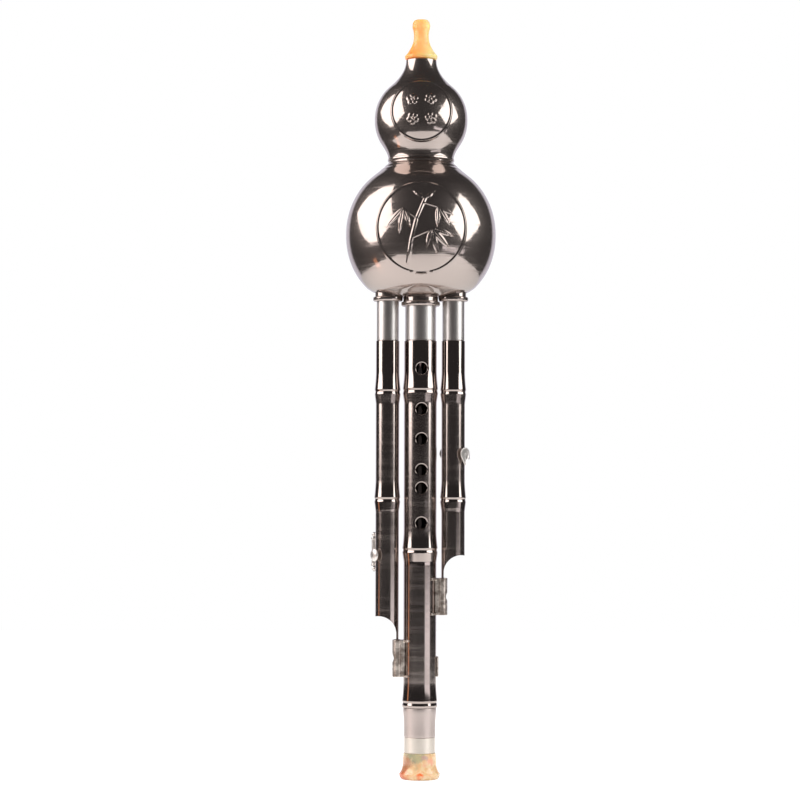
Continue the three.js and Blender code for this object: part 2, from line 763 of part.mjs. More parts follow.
// The clip's band, an arc round the back of the main pipe that grips it.
function bandSector(arc, bottom) {
  const seat = mainPipeRadius + slideGap;
  const sector = new THREE.Shape();
  sector.absarc(0, 0, seat + bandThickness, 0, degrees(arc), false);
  sector.absarc(0, 0, seat - bandThickness, degrees(arc), 0, true);
  const steps = Math.round((mainFacets * degrees(arc)) / (2 * Math.PI));
  return new THREE.ExtrudeGeometry(sector, { depth: bandHeight, bevelEnabled: false, curveSegments: steps })
    .translate(-pipeSpacing, 0, bottom);
}

// Drone keys, built with the pivot upright at the middle of its height and turned into place

function atKey(geometry, key) {
  return geometry.translate(0, 0, pipeTop - key.drop);
}

function pivotPlace(key) {
  const turn = degrees(key.angle);
  return [keyAxisRadius * Math.cos(turn), keyAxisRadius * Math.sin(turn)];
}

function keyRib(key) {
  const seat = dronePipeRadius + slideGap;
  const halfArc = ribWidth / 2 / seat;
  const strip = new THREE.Shape();
  strip.absarc(0, 0, seat + ribThickness, -halfArc, halfArc, false);
  strip.absarc(0, 0, seat, halfArc, -halfArc, true);
  const length = 2 * (postSpread + postBallRadius);
  const settings = { depth: length, bevelEnabled: false, curveSegments: blendSteps };
  const rib = new THREE.ExtrudeGeometry(strip, settings).translate(0, 0, -length / 2);
  const posts = [-postSpread, postSpread].flatMap((level) => [
    drum(postRadius, seat + ribThickness / 2, keyAxisRadius, smallFacets / 2)
      .rotateY(Math.PI / 2)
      .translate(0, 0, level),
    new THREE.SphereGeometry(postBallRadius, smallFacets, smallFacets / 2)
      .translate(keyAxisRadius, 0, level),
  ]);
  const lugTop = keyAxisRadius - springSink + 2 * springRadius;
  const lugEdge = springBack + 2 * springRadius;
  const lug = slab(lugTop - seat - ribThickness / 2, lugEdge, springLugHeight)
    .translate((lugTop + seat + ribThickness / 2) / 2, lugEdge / 2, -postSpread);
  const rodHole = drum(pivotRadius + slideGap, -length, length, smallFacets / 2)
    .translate(keyAxisRadius, 0, 0);
  return atKey(cut(join(rib, ...posts, lug), rodHole).rotateZ(degrees(key.angle)), key);
}

function keyRod(key) {
  const reach = postSpread + postBallRadius;
  const [x, y] = pivotPlace(key);
  return atKey(drum(pivotRadius, -reach, reach, smallFacets / 2).translate(x, y, 0), key);
}

function armInnerRadius() {
  return dronePipeRadius + keyAxisRadius * Math.sin(degrees(keyOpening)) + slideGap;
}

// The dome of the touch: round on the left key and drawn out to a point below on the right one.
function touchPlate(key) {
  const outline = new THREE.Shape();
  if (key.pointed) {
    const [start, end] = [degrees(-teardropShoulder), degrees(180 + teardropShoulder)];
    outline.absarc(0, teardropLength / 2 - touchRadius, touchRadius, start, end, false);
    outline.lineTo(0, -teardropLength / 2);
  } else {
    outline.absarc(0, 0, touchRadius, 0, 2 * Math.PI, false);
  }
  const settings = {
    depth: leverThickness - touchDome / 2,
    bevelEnabled: true,
    bevelThickness: touchDome / 2,
    bevelSize: touchDome,
    bevelOffset: -touchDome,
    bevelSegments: 1,
    curveSegments: smallFacets / 2,
  };
  return new THREE.ExtrudeGeometry(outline, settings)
    .rotateX(Math.PI / 2)
    .rotateZ(Math.PI / 2)
    .translate(armInnerRadius() + touchDome / 2, 0, -keyTouchLowering)
    .rotateZ(degrees(key.touchAngle));
}

function keyLever(key) {
  const inner = armInnerRadius();
  const [x, y] = pivotPlace(key);
  const arm = new THREE.Shape();
  arm.absarc(0, 0, inner + leverThickness, degrees(key.touchAngle), degrees(key.angle), false);
  arm.absarc(0, 0, inner, degrees(key.angle), degrees(key.touchAngle), true);
  const settings = { depth: leverWidth, bevelEnabled: false, curveSegments: armSteps };
  const touchArm = new THREE.ExtrudeGeometry(arm, settings)
    .translate(0, 0, -keyTouchLowering - leverWidth / 2);
  const tubeHalf = postSpread - postBallRadius - slideGap;
  const hinge = drum(hingeTubeRadius, -tubeHalf, tubeHalf).translate(x, y, 0);
  const hingeBore = drum(pivotRadius + slideGap, -postSpread, postSpread).translate(x, y, 0);
  const solid = join(hinge, touchArm, touchPlate(key), padArm(), padCup(), springCatch());
  return atKey(cut(solid, hingeBore, padRoom()), key);

  function padRoom() {
    return drum(padRadius + slideGap, 0, padSeat() + padThickness + wrapGap)
      .rotateY(Math.PI / 2)
      .rotateZ(degrees(key.angle + padAngleFromPivot));
  }

  // The pad arm runs straight from the pivot to the back of the cup.
  function padArm() {
    const turn = degrees(key.angle + padAngleFromPivot);
    const cupBack = padSeat() + padThickness + wrapGap + padCupWall;
    const [endX, endY] = [cupBack * Math.cos(turn), cupBack * Math.sin(turn)];
    const length = Math.hypot(endX - x, endY - y);
    return slab(length, leverThickness, leverWidth)
      .rotateZ(Math.atan2(endY - y, endX - x))
      .translate((x + endX) / 2, (y + endY) / 2, 0);
  }

  // The cup covers the pad from behind, with a low rim round it.
  function padCup() {
    const back = padSeat() + padThickness + wrapGap;
    const rimInner = padRadius + slideGap;
    const rimOuter = rimInner + padCupWall;
    return turned([
      [0, back],
      [rimInner, back],
      [rimInner, back - padCupRimHeight],
      [rimOuter, back - padCupRimHeight],
      [rimOuter, back + padCupWall / 2],
      [rimOuter / 2, back + 2 * padCupWall],
      [0, back + 2 * padCupWall],
    ], smallFacets)
      .rotateY(Math.PI / 2)
      .rotateZ(degrees(key.angle + padAngleFromPivot));
  }

  // The catch stands out from the hinge tube over the tip of the needle spring.
  function springCatch() {
    const reach = springBack + 2 * springRadius;
    return slab(springRadius * 4, reach, springCatchHeight)
      .translate(keyAxisRadius - springSink, reach / 2, -springCatchDrop)
      .rotateZ(degrees(key.angle));
  }
}

function padSeat() {
  return dronePipeRadius + chimneyHeight + slideGap;
}

function keyPad(key) {
  const disc = drum(padRadius, padSeat(), padSeat() + padThickness)
    .rotateY(Math.PI / 2)
    .rotateZ(degrees(key.angle + padAngleFromPivot));
  return atKey(disc, key);
}

function keySpring(key) {
  const bottom = -postSpread + springLugHeight / 2 + slideGap;
  const top = -springCatchDrop - springCatchHeight / 2 - slideGap;
  const needle = drum(springRadius, bottom, top, smallFacets / 2)
    .translate(keyAxisRadius - springSink, springBack, 0)
    .rotateZ(degrees(key.angle));
  return atKey(needle, key);
}

// One drone with its socket, reed, pipe, clip and key, on the +X side
function droneSide(side, scoopDrop, clipDrop, bandArc, key) {
  const droneAxis = new THREE.Group();
  droneAxis.position.x = pipeSpacing;
  droneAxis.add(
    piece(side + "_tuning_sleeve", sleeve(droneSleeveRadius, dronePipeBore), satinNickel),
    piece(side + "_sleeve_cork", sleeveCork(droneSleeveRadius), cork),
    piece(side + "_reed_holder", reedHolder(droneReedRadius, droneSleeveRadius), reedPlastic),
    piece(side + "_reed_plate", reedPlate(droneReedRadius), reedBrass),
    piece(side + "_drone_pipe", dronePipe(scoopDrop, clipDrop, key), blackNickel),
    piece(side + "_drone_clip", clip(clipDrop, bandArc), antiqueSilver),
    piece(side + "_key_rib", keyRib(key), brightNickel),
    piece(side + "_key_pivot_rod", keyRod(key), springSteel),
    piece(side + "_key_lever", keyLever(key), brightNickel),
    piece(side + "_key_pad", keyPad(key), padFelt),
    piece(side + "_key_spring", keySpring(key), springSteel),
  );
  const socket = ferrule(droneSleeveRadius, droneCollarRadius, droneCollarBase, pipeSpacing);
  const group = new THREE.Group();
  group.add(droneAxis, piece(side + "_socket_ferrule", socket, blackNickel));
  return group;
}

// The whole instrument
const hulusi = new THREE.Group();
hulusi.name = "hulusi";
hulusi.add(
  piece("mouthpiece", mouthpiece(), amberPlastic),
  piece("mouthpiece_cork", mouthpieceCork(), cork),
  piece("gourd_upper_shell", upperGourdShell(), blackNickel),
  piece("gourd_lower_shell", lowerGourdShell(), blackNickel),
  piece("main_socket_ferrule", ferrule(mainSleeveRadius, mainCollarRadius, mainCollarBase, 0), blackNickel),
  piece("main_tuning_sleeve", sleeve(mainSleeveRadius, mainPipeBore), satinNickel),
  piece("main_sleeve_cork", sleeveCork(mainSleeveRadius), cork),
  piece("main_reed_holder", reedHolder(mainReedRadius, mainSleeveRadius), reedPlastic),
  piece("main_reed_plate", reedPlate(mainReedRadius), reedBrass),
  piece("main_pipe", mainPipe(), blackNickel),
  piece("lower_joint", lowerJoint(), roseNickel),
  piece("lower_joint_cork", lowerJointCork(), cork),
  piece("foot_ring", footRing(), satinNickel),
  piece("foot_bell", footBell(), marbledPlastic),
);

const rightKey = {
  angle: rightKeyAngle,
  touchAngle: rightTouchAngle,
  drop: rightKeyDrop,
  pointed: true,
};
const leftKey = {
  angle: leftKeyAngle,
  touchAngle: leftTouchAngle,
  drop: leftKeyDrop,
  pointed: false,
};
const rightSide = droneSide("right", rightScoopDrop, rightClipDrop, rightBandArc, rightKey);
const leftSide = droneSide("left", leftScoopDrop, leftClipDrop, leftBandArc, leftKey);
leftSide.scale.x = -1;
hulusi.add(rightSide, leftSide);

export default hulusi;
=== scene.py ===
# The looks of a hulusi, a gourd-shaped free-reed flute plated in black nickel.
# Each section makes one piece or one group of like pieces, in the order in which it is put together.
# Lengths are in metres, +Z is up, and the finger holes face -Y.

import math

import bmesh
import bpy
import numpy as np
from mathutils import Matrix, Vector, noise
from mathutils.geometry import interpolate_bezier


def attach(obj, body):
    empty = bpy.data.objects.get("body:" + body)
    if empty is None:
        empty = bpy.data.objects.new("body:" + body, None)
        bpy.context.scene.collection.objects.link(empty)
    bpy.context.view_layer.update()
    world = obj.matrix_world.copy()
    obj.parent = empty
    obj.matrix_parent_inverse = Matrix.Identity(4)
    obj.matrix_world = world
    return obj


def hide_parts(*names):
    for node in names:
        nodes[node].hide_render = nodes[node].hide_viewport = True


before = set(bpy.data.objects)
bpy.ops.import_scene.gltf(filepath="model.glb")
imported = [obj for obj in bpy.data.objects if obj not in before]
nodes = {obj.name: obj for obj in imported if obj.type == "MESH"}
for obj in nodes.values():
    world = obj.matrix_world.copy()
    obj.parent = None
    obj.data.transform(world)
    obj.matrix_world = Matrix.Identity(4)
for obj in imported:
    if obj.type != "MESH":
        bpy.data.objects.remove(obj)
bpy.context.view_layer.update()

# The view of the photograph: a long lens at the height of the drone pipes' lower ends,
# tilted up a little towards the gourd.
CAMERA_PLACE = (-0.01165, -1.35, 0.155)
CAMERA_PITCH = 2.67
CAMERA_ROLL = -0.17
CAMERA_LENS = 104.976

camera_data = bpy.data.cameras.new("camera")
camera_data.lens = CAMERA_LENS
camera_data.sensor_width = 36
camera = bpy.data.objects.new("camera", camera_data)
camera.location = CAMERA_PLACE
camera.rotation_euler = (math.radians(90 + CAMERA_PITCH), math.radians(CAMERA_ROLL), 0)
bpy.context.scene.collection.objects.link(camera)
bpy.context.scene.camera = camera
bpy.context.scene.view_settings.view_transform = "Standard"


# The studio: a pale table, a white backdrop, a dark room in front, and a softbox on each side of the gourd.
# A dark flag covers the left softbox from below. Near the table stand a pale card on the right and a small
# warm one on the left, seen as thin bands in the satin pipes. The rest of the metal shows the dark room.
TABLE_EDGE = [(-0.62, 1.6), (-0.59, 0.64), (-0.49, -0.13), (-0.34, -0.43), (0, -0.52),
              (0.34, -0.48), (0.59, -0.24), (0.58, 0.99), (0.58, 1.6)]
TABLE_COLOUR = (0.86, 0.86, 0.86, 1)
TABLE_GLOW = 0.5
TABLE_GLOSS_SHARE = 0.45
GOURD_MIDDLE = Vector((0, 0, 0.3135))
# Each lamp's place from the gourd's middle, the directions of its two sides, its size, glow and colour
LAMPS = {
    "left_softbox": ((-0.62, -0.135, 0.241), (0.262, 0.762, 0.593), (0.376, -0.646, 0.665),
                     (0.83, 0.69), 9.0, (1, 0.94, 0.93)),
    "right_softbox": ((0.629, -0.181, 0.183), (0.022, 0.841, 0.54), (-0.591, -0.425, 0.686),
                      (0.58, 0.5), 9.0, (1, 1, 1)),
    "low_card": ((0.563, -0.416, -0.265), (0.595, 0.804, 0), (0, 0, 1), (0.5, 0.09), 4.4, (0.98, 0.95, 1)),
    "warm_card": ((-0.42, -0.03, -0.2585), (0, 1, 0), (0, 0, 1), (0.07, 0.11), 2.5, (1, 0.42, 0.2)),
}
FLAG_LEVEL, FLAG_GAP, FLAG_HALF, FLAG_DROP = 0.2, 0.01, 0.7, 0.6
BACKDROP_EDGE = (0.76, 0.84)
BACKDROP_TINT = (0.84, 0.83, 0.95, 1)
ROOM_DARK = (0.035, 0.033, 0.034, 1)
ROOM_SOFT = (0.62, 0.62, 0.62, 1)
WHITE = (1, 1, 1, 1)


def node_maker(tree):
    """Returns a function that adds a node, sets its inputs by name or number, and gives it back."""

    def make(kind, inputs=None, **settings):
        made = tree.nodes.new(kind)
        for name, value in settings.items():
            setattr(made, name, value)
        for name, value in (inputs or {}).items():
            if isinstance(value, bpy.types.NodeSocket):
                tree.links.new(value, made.inputs[name])
            else:
                made.inputs[name].default_value = value
        return made

    return make


def colour_mix(make, factor, first, second):
    """The two colours mixed by the factor. A mix node's colour sockets are its inputs 6 and 7."""
    return make("ShaderNodeMix", {0: factor, 6: first, 7: second}, data_type="RGBA").outputs[2]


def maths(make, way, first, second, **settings):
    return make("ShaderNodeMath", {0: first, 1: second}, operation=way, **settings).outputs[0]


def ramp(make, value, start, end, low=0.0, high=1.0, rise="LINEAR"):
    """Goes from low to high while the value goes from start to end."""
    inputs = {"Value": value, "From Min": start, "From Max": end, "To Min": low, "To Max": high}
    return make("ShaderNodeMapRange", inputs, interpolation_type=rise).outputs["Result"]


def soft_ramp(make, value, start, end, low=0.0, high=1.0):
    return ramp(make, value, start, end, low, high, "SMOOTHSTEP")


def along_axis(make, place, axis):
    return make("ShaderNodeSeparateXYZ", {"Vector": place}).outputs[axis]


def new_finish(name):
    """An empty material, and the function that adds nodes to it."""
    finish = bpy.data.materials.new(name)
    finish.use_nodes = True
    finish.node_tree.nodes.clear()
    return finish, node_maker(finish.node_tree)


def surfaced(finish, make, surface):
    make("ShaderNodeOutputMaterial", {"Surface": surface})
    return finish


def shaped(name, points, faces, lines=()):
    """A mesh of the given points, faces and lines."""
    mesh = bpy.data.meshes.new(name)
    mesh.from_pydata(points, lines, faces)
    return mesh


def linked(mesh):
    """Puts a mesh into the scene as a piece with the mesh's name."""
    piece = bpy.data.objects.new(mesh.name, mesh)
    bpy.context.scene.collection.objects.link(piece)
    return piece


def studio_world():
    world = bpy.data.worlds.new("studio")
    world.use_nodes = True
    world.node_tree.nodes.clear()
    make = node_maker(world.node_tree)
    rays = make("ShaderNodeLightPath").outputs
    direction = make("ShaderNodeTexCoord").outputs["Generated"]
    behind = soft_ramp(make, along_axis(make, direction, "Y"), *BACKDROP_EDGE)
    in_metal = colour_mix(make, behind, ROOM_DARK, BACKDROP_TINT)
    around = colour_mix(make, rays["Is Glossy Ray"], ROOM_SOFT, in_metal)
    seen = colour_mix(make, rays["Is Camera Ray"], around, WHITE)
    background = make("ShaderNodeBackground", {"Color": seen})
    make("ShaderNodeOutputWorld", {"Surface": background.outputs[0]})
    bpy.context.scene.world = world


def studio_table():
    corners = [(x, y, 0) for x, y in TABLE_EDGE]
    mesh = shaped("table_top", corners, [tuple(range(len(corners)))])
    finish, make = new_finish("pale_table")
    rays = make("ShaderNodeLightPath").outputs
    gloss = maths(make, "MULTIPLY", rays["Is Glossy Ray"], TABLE_GLOSS_SHARE)
    shown = maths(make, "ADD", rays["Is Camera Ray"], gloss)
    glow = maths(make, "MULTIPLY", shown, TABLE_GLOW)
    matte = make("ShaderNodeBsdfDiffuse", {"Color": TABLE_COLOUR})
    light = make("ShaderNodeEmission", {"Color": WHITE, "Strength": glow})
    both = make("ShaderNodeAddShader", {0: matte.outputs[0], 1: light.outputs[0]})
    mesh.materials.append(surfaced(finish, make, both.outputs[0]))
    linked(mesh)


def softbox(name, away, long_way, short_way, sides, glow, colour):
    """A rectangular lamp that faces the gourd, with its sides along the two given directions."""
    data = bpy.data.lights.new(name, "AREA")
    data.shape = "RECTANGLE"
    data.size, data.size_y = sides
    data.energy = glow * data.size * data.size_y
    data.color = colour
    light = bpy.data.objects.new(name, data)
    along = Vector(long_way).normalized()
    back = along.cross(Vector(short_way)).normalized()
    if back.dot(Vector(away)) < 0:
        back = -back
    axes = Matrix((along, back.cross(along), back)).transposed()
    light.matrix_world = Matrix.LocRotScale(GOURD_MIDDLE + Vector(away), axes, None)
    light.visible_camera = False
    bpy.context.scene.collection.objects.link(light)
    return light


def flag(lamp):
    """A card as dark as the room, just in front of a lamp, that covers its lower part."""
    back = lamp.matrix_world.col[2].to_3d()
    level = back.cross(Vector((0, 0, 1))).normalized()
    down = level.cross(back)
    if down.z > 0:
        down = -down
    top = lamp.matrix_world.translation - FLAG_GAP * back
    top += down * (FLAG_LEVEL - top.z) / down.z
    side, drop = FLAG_HALF * level, FLAG_DROP * down
    corners = [top - side, top + side, top + side + drop, top - side + drop]
    mesh = shaped("flag", corners, [(0, 1, 2, 3)])
    finish, make = new_finish("dark_card")
    shade = make("ShaderNodeEmission", {"Color": ROOM_DARK})
    mesh.materials.append(surfaced(finish, make, shade.outputs[0]))
    card = linked(mesh)
    card.visible_camera = False


studio_world()
studio_table()
lamps = {name: softbox(name, *settings) for name, settings in LAMPS.items()}
flag(lamps["left_softbox"])


# The gourd: two shells of spun metal that meet at the waist, polished and plated in black nickel.
# Each bulb is stamped in front with a ring: the lower one holds a bamboo sprig, the upper one four blossoms.
BULB_POWER = 2.1
GOURD_BOTTOM = 0.2767
GOURD_BASE = (0.0281, 0.0042)
BASE_CORNER = (0.003, 0.0019)
LOWER_BULB = (0.3135, 0.0435, 0.0435)
WAIST_LEVEL, WAIST_RADIUS = 0.3567, 0.0186
SLIDE_GAP = 0.0003
SEAM = WAIST_LEVEL + SLIDE_GAP
COLLAR_RADIUS, COLLAR_HEIGHT, SEAM_BEAD = 0.019, 0.0012, 0.00035
UPPER_BULB = (0.381, 0.027, 0.0255, 0.0255)
GOURD_WALL = 0.0012
SPIGOT_TOP = 0.3622
NECK_TOP, NECK_RADIUS, NECK_BORE, NECK_DEPTH = 0.4163, 0.0089, 0.0063, 0.0105
HIP_SHARE, WAIST_SHARE, NECK_SHARE = 0.63, 0.84, 0.68
WAIST_RIPPLE, RIPPLE_PITCH = 0.00014, 0.0023
NECK_EDGE, BEAD_EDGE, INNER_WAIST_DROP = 0.0004, 0.0001, 0.002
OVERRUN = 0.001
CURVE_STEPS, BASE_STEPS = 40, 12
ON_AXIS = 1e-7
LOWER_RING = (0.0, 0.3140, 0.0250, 0.0256)
UPPER_RING = (0.0, 0.3831, 0.0170, 0.0172)
RING_WIDTH, RING_HEIGHT = 0.0018, 0.0005
STAMP_HEIGHT = 0.00055
LEAF_SKEW, LEAF_FULLNESS = 0.75, 0.9
# Where the mesh is fine for the stamp: the two heights and the step between points, and then, in degrees,
# half the angle in front, the fine step there and the coarse step elsewhere
LOWER_STAMP, LOWER_FRONT = (0.290, 0.344, 0.00034), (42, 0.36, 5)
UPPER_STAMP, UPPER_FRONT = (0.366, 0.402, 0.00024), (46, 0.5, 5)
BLACK_NICKEL = (0.5, 0.43, 0.395, 1)
HAZE, HAZE_ROUGHNESS = 0.2, 0.42


def skinned(name, points, rings):
    """A mesh with faces from each ring of point numbers to the next."""
    faces = []
    for lower, upper in zip(rings, rings[1:]):
        for at in range(len(lower)):
            after = (at + 1) % len(lower)
            corners = dict.fromkeys((lower[at], lower[after], upper[after], upper[at]))
            if len(corners) > 2:
                faces.append(tuple(corners))
    return shaped(name, points, faces)


def turned_mesh(name, outline, angles, across=0.0):
    """A mesh turned round an upright axis. The outline of radius and height goes up the outside and down
    the inside, and closes either on the axis or on itself."""
    turns = np.array(angles)
    points, rings = [], []
    for radius, height in outline:
        start = len(points)
        if radius < ON_AXIS:
            points.append((across, 0.0, height))
            rings.append([start] * len(angles))
        else:
            ring = np.column_stack((across + radius * np.cos(turns), radius * np.sin(turns)))
            points += [(x, y, height) for x, y in ring.tolist()]
            rings.append(list(range(start, len(points))))
    if outline[0][0] >= ON_AXIS:
        rings.append(rings[0])
    return skinned(name, points, rings)


def even_turns(count):
    return [2 * math.pi * at / count for at in range(count)]


def on_circle(radius, turn):
    return radius * math.cos(turn), radius * math.sin(turn)


def smooth_faces(piece, crease=35):
    """Shades a piece smooth but for edges sharper than the crease angle."""
    piece.data.shade_smooth()
    piece.data.set_sharp_from_angle(angle=math.radians(crease))
    return piece


def shown_piece(mesh, crease=35):
    return smooth_faces(linked(mesh), crease)


def turned_piece(name, outline, facets, crease=35):
    return shown_piece(turned_mesh(name, outline, even_turns(facets)), crease)


def fitted(piece, body, slot, finish, *replaced):
    """Gives a finished piece its material and body, and hides the CAD nodes that it stands for. The slot is
    not used.
    """
    piece.data.materials.clear()
    piece.data.materials.append(finish)
    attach(piece, body)
    if replaced:
        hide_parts(*replaced)


def curve(start, first, second, end, steps=CURVE_STEPS):
    """Points of radius and height along a Bezier curve."""
    flat = [Vector((radius, height, 0)) for radius, height in (start, first, second, end)]
    return [(point.x, point.y) for point in interpolate_bezier(*flat, steps)]


def bulb_quarter(centre, radius, rise, end_radius):
    end_turn = math.acos((end_radius / radius) ** (BULB_POWER / 2))
    points = []
    for step in range(CURVE_STEPS + 1):
        turn = end_turn * step / CURVE_STEPS
        out = radius * math.cos(turn) ** (2 / BULB_POWER)
        points.append((out, centre + rise * math.sin(turn) ** (2 / BULB_POWER)))
    return points


def sweep_to(bulb, end_radius, end_height):
    """A hollow sweep that leaves a bulb along its slope and ends upright."""
    (before_r, before_z), (last_r, last_z) = bulb[-2:]
    slope = (last_z - before_z) / (last_r - before_r)
    corner = (end_radius, last_z + slope * (end_radius - last_r))
    third = 2 / 3
    first = (last_r + third * (corner[0] - last_r), last_z + third * (corner[1] - last_z))
    second = (end_radius, end_height + third * (corner[1] - end_height))
    return curve((last_r, last_z), first, second, (end_radius, end_height))[1:]


def lower_gourd_outline():
    centre, radius, shoulder = LOWER_BULB
    base_radius, base_rise = GOURD_BASE
    end_radius = base_radius + BASE_CORNER[0]
    end_turn = math.acos((end_radius / radius) ** (BULB_POWER / 2))
    drop = (centre - GOURD_BOTTOM - base_rise - BASE_CORNER[1]) / math.sin(end_turn) ** (2 / BULB_POWER)
    upper = bulb_quarter(centre, radius, shoulder, radius * HIP_SHARE)
    lower = bulb_quarter(centre, radius, -drop, end_radius)
    base = []
    for at in range(BASE_STEPS + 1):
        base.append((base_radius * at / BASE_STEPS, GOURD_BOTTOM + base_rise * (at / BASE_STEPS) ** 2))
    waist = []
    for out, height in sweep_to(upper, WAIST_RADIUS, WAIST_LEVEL):
        near = max(0.0, 1 - (WAIST_LEVEL - height) / (3 * RIPPLE_PITCH))
        ripple = WAIST_RIPPLE * math.sin(2 * math.pi * (WAIST_LEVEL - height) / RIPPLE_PITCH)
        waist.append((out + ripple * min(1.0, 3 * near), height))
    return base + lower[::-1] + upper[1:] + waist


def inset(outline, wall):
    """The same outline moved inwards by a wall, with every sixth point kept."""
    points = []
    last = len(outline) - 1
    for at in range(0, last + 1, 6):
        (before_r, before_z), (after_r, after_z) = outline[max(at - 1, 0)], outline[min(at + 1, last)]
        run = Vector((after_r - before_r, after_z - before_z)).normalized()
        radius, height = outline[at]
        points.append((max(radius - run.y * wall, 0), height + run.x * wall))
    return points


def lower_gourd_walls(outside):
    """The lower shell's outside, its spigot at the waist, and its inside down to the axis."""
    spigot = COLLAR_RADIUS - GOURD_WALL - SLIDE_GAP
    bore = spigot - GOURD_WALL
    rim = [(spigot, WAIST_LEVEL), (spigot, SPIGOT_TOP), (bore, SPIGOT_TOP), (bore, WAIST_LEVEL)]
    room = WAIST_LEVEL - INNER_WAIST_DROP
    inside = [(radius, height) for radius, height in inset(outside, GOURD_WALL) if height < room]
    return outside + rim + inside[::-1]


def upper_gourd_outline():
    centre, radius, shoulder, hip = UPPER_BULB
    below = bulb_quarter(centre, radius, -hip, radius * WAIST_SHARE)
    above = bulb_quarter(centre, radius, shoulder, radius * NECK_SHARE)
    collar = sweep_to(below, COLLAR_RADIUS, SEAM + COLLAR_HEIGHT)
    neck = sweep_to(above, NECK_RADIUS, NECK_TOP - NECK_EDGE)
    return collar[::-1] + below[::-1] + above[1:] + neck


def upper_gourd_walls(outside):
    """The upper shell's bead at the seam, its outside, the lip and bore of the neck, and its inside."""
    lip = [(NECK_RADIUS - NECK_EDGE, NECK_TOP), (NECK_BORE, NECK_TOP), (NECK_BORE, NECK_TOP - NECK_DEPTH)]
    bead = COLLAR_RADIUS + SEAM_BEAD
    bore = COLLAR_RADIUS - GOURD_WALL
    top = SEAM + COLLAR_HEIGHT - SEAM_BEAD
    edge = [(bore, SEAM), (bead - BEAD_EDGE, SEAM), (bead, SEAM + BEAD_EDGE), (bead, top)]
    room = SPIGOT_TOP + SLIDE_GAP
    inside = [(radius, height) for radius, height in inset(outside, GOURD_WALL)
              if radius > NECK_BORE and room < height < NECK_TOP - NECK_DEPTH]
    return edge + outside + lip + inside[::-1] + [(bore, room)]


def eased(value):
    clipped = np.clip(value, 0, 1)
    return clipped * clipped * (3 - 2 * clipped)


def leaf_field(x, z, root, turn, length, width):
    """How far each point is inside a pointed leaf, from 0 at its edge to 1 on its middle line."""
    ahead = (math.cos(turn), math.sin(turn))
    run = ((x - root[0]) * ahead[0] + (z - root[1]) * ahead[1]) / length
    side = -(x - root[0]) * ahead[1] + (z - root[1]) * ahead[0]
    inside = np.clip(run, 0, 1)
    half = width * np.sin(math.pi * inside ** LEAF_SKEW) ** LEAF_FULLNESS + 1e-9
    return np.where((run > 0) & (run < 1), np.clip(1 - np.abs(side) / half, 0, 1), 0)


def cane_field(x, z, start, end, width):
    """How far each point is inside a straight rod with round ends."""
    (start_x, start_z), (end_x, end_z) = start, end
    length = math.hypot(end_x - start_x, end_z - start_z)
    ahead = ((end_x - start_x) / length, (end_z - start_z) / length)
    run = np.clip((x - start_x) * ahead[0] + (z - start_z) * ahead[1], 0, length)
    gap = np.hypot(x - start_x - run * ahead[0], z - start_z - run * ahead[1])
    return np.clip(1 - gap / width, 0, 1)


# The stamped pictures, in mm. Canes are pairs of ends with a half width, leaves have a root, a direction
# in degrees, a length and a half width, and blossoms have a middle and a turn in degrees.
CANES = [((-7.5, -20), (-6.0, -9.5), 1.3), ((-5.9, -8.3), (-3.0, 3.5), 1.2),
         ((-2.6, 4.7), (2.2, 16.5), 1.05), ((-5.2, -6.5), (6.5, -1.5), 0.5),
         ((-2.6, 4.4), (-10.5, 10.0), 0.5), ((1.0, 13.5), (9.5, 11.0), 0.5)]
LEAVES = [((6.0, -1.7), -78, 14.0, 1.75), ((6.2, -1.6), -48, 14.5, 1.75), ((6.4, -1.4), -18, 12.5, 1.5),
          ((5.2, -1.9), -104, 10.5, 1.3), ((-10.2, 9.8), -100, 14.0, 1.7), ((-10.6, 10.0), -132, 13.0, 1.6),
          ((-9.6, 9.4), -72, 10.5, 1.4), ((9.2, 11.1), -92, 11.5, 1.6), ((9.6, 11.0), -58, 12.0, 1.6),
          ((9.8, 11.2), -28, 9.0, 1.3), ((2.0, 16.3), 148, 8.0, 1.2), ((2.4, 16.2), 40, 7.0, 1.1)]
CANE_STEEPNESS, LEAF_STEEPNESS, VEIN_STEEPNESS = 1.6, 2.2, 4
VEIN_DEPTH, VEIN_START = 0.35, 0.72
BLOSSOMS = [((-5.2, 6.0), 90), ((5.2, 6.4), 60), ((-5.0, -5.2), 50), ((5.4, -5.0), 100)]
PETALS, PETAL_REACH, PETAL_RADIUS = 5, 2.0, 1.65
HEART_RADIUS, HEART_RIM = 0.95, 0.25
MM = 0.001


def sprig_relief(x, z):
    height = np.zeros_like(x)
    for start, end, width in CANES:
        height = np.maximum(height, eased(CANE_STEEPNESS * cane_field(x, z, start, end, width)))
    for root, turn, length, width in LEAVES:
        field = leaf_field(x, z, root, math.radians(turn), length, width)
        vein = VEIN_DEPTH * eased(VEIN_STEEPNESS * (field - VEIN_START))
        height = np.maximum(height, eased(LEAF_STEEPNESS * field) - vein)
    return height


def blossom_relief(x, z):
    height = np.zeros_like(x)
    for (middle_x, middle_z), turn in BLOSSOMS:
        for petal in range(PETALS):
            out_x, out_z = on_circle(PETAL_REACH, math.radians(turn + 360 / PETALS * petal))
            gap = np.hypot(x - (middle_x + out_x), z - (middle_z + out_z))
            height = np.maximum(height, eased(2 * (1 - gap / PETAL_RADIUS)))
        heart = np.hypot(x - middle_x, z - middle_z)
        domed = HEART_RIM + (1 - HEART_RIM) * eased(1 - heart / HEART_RADIUS)
        height = np.where(heart < HEART_RADIUS, domed, height)
    return height


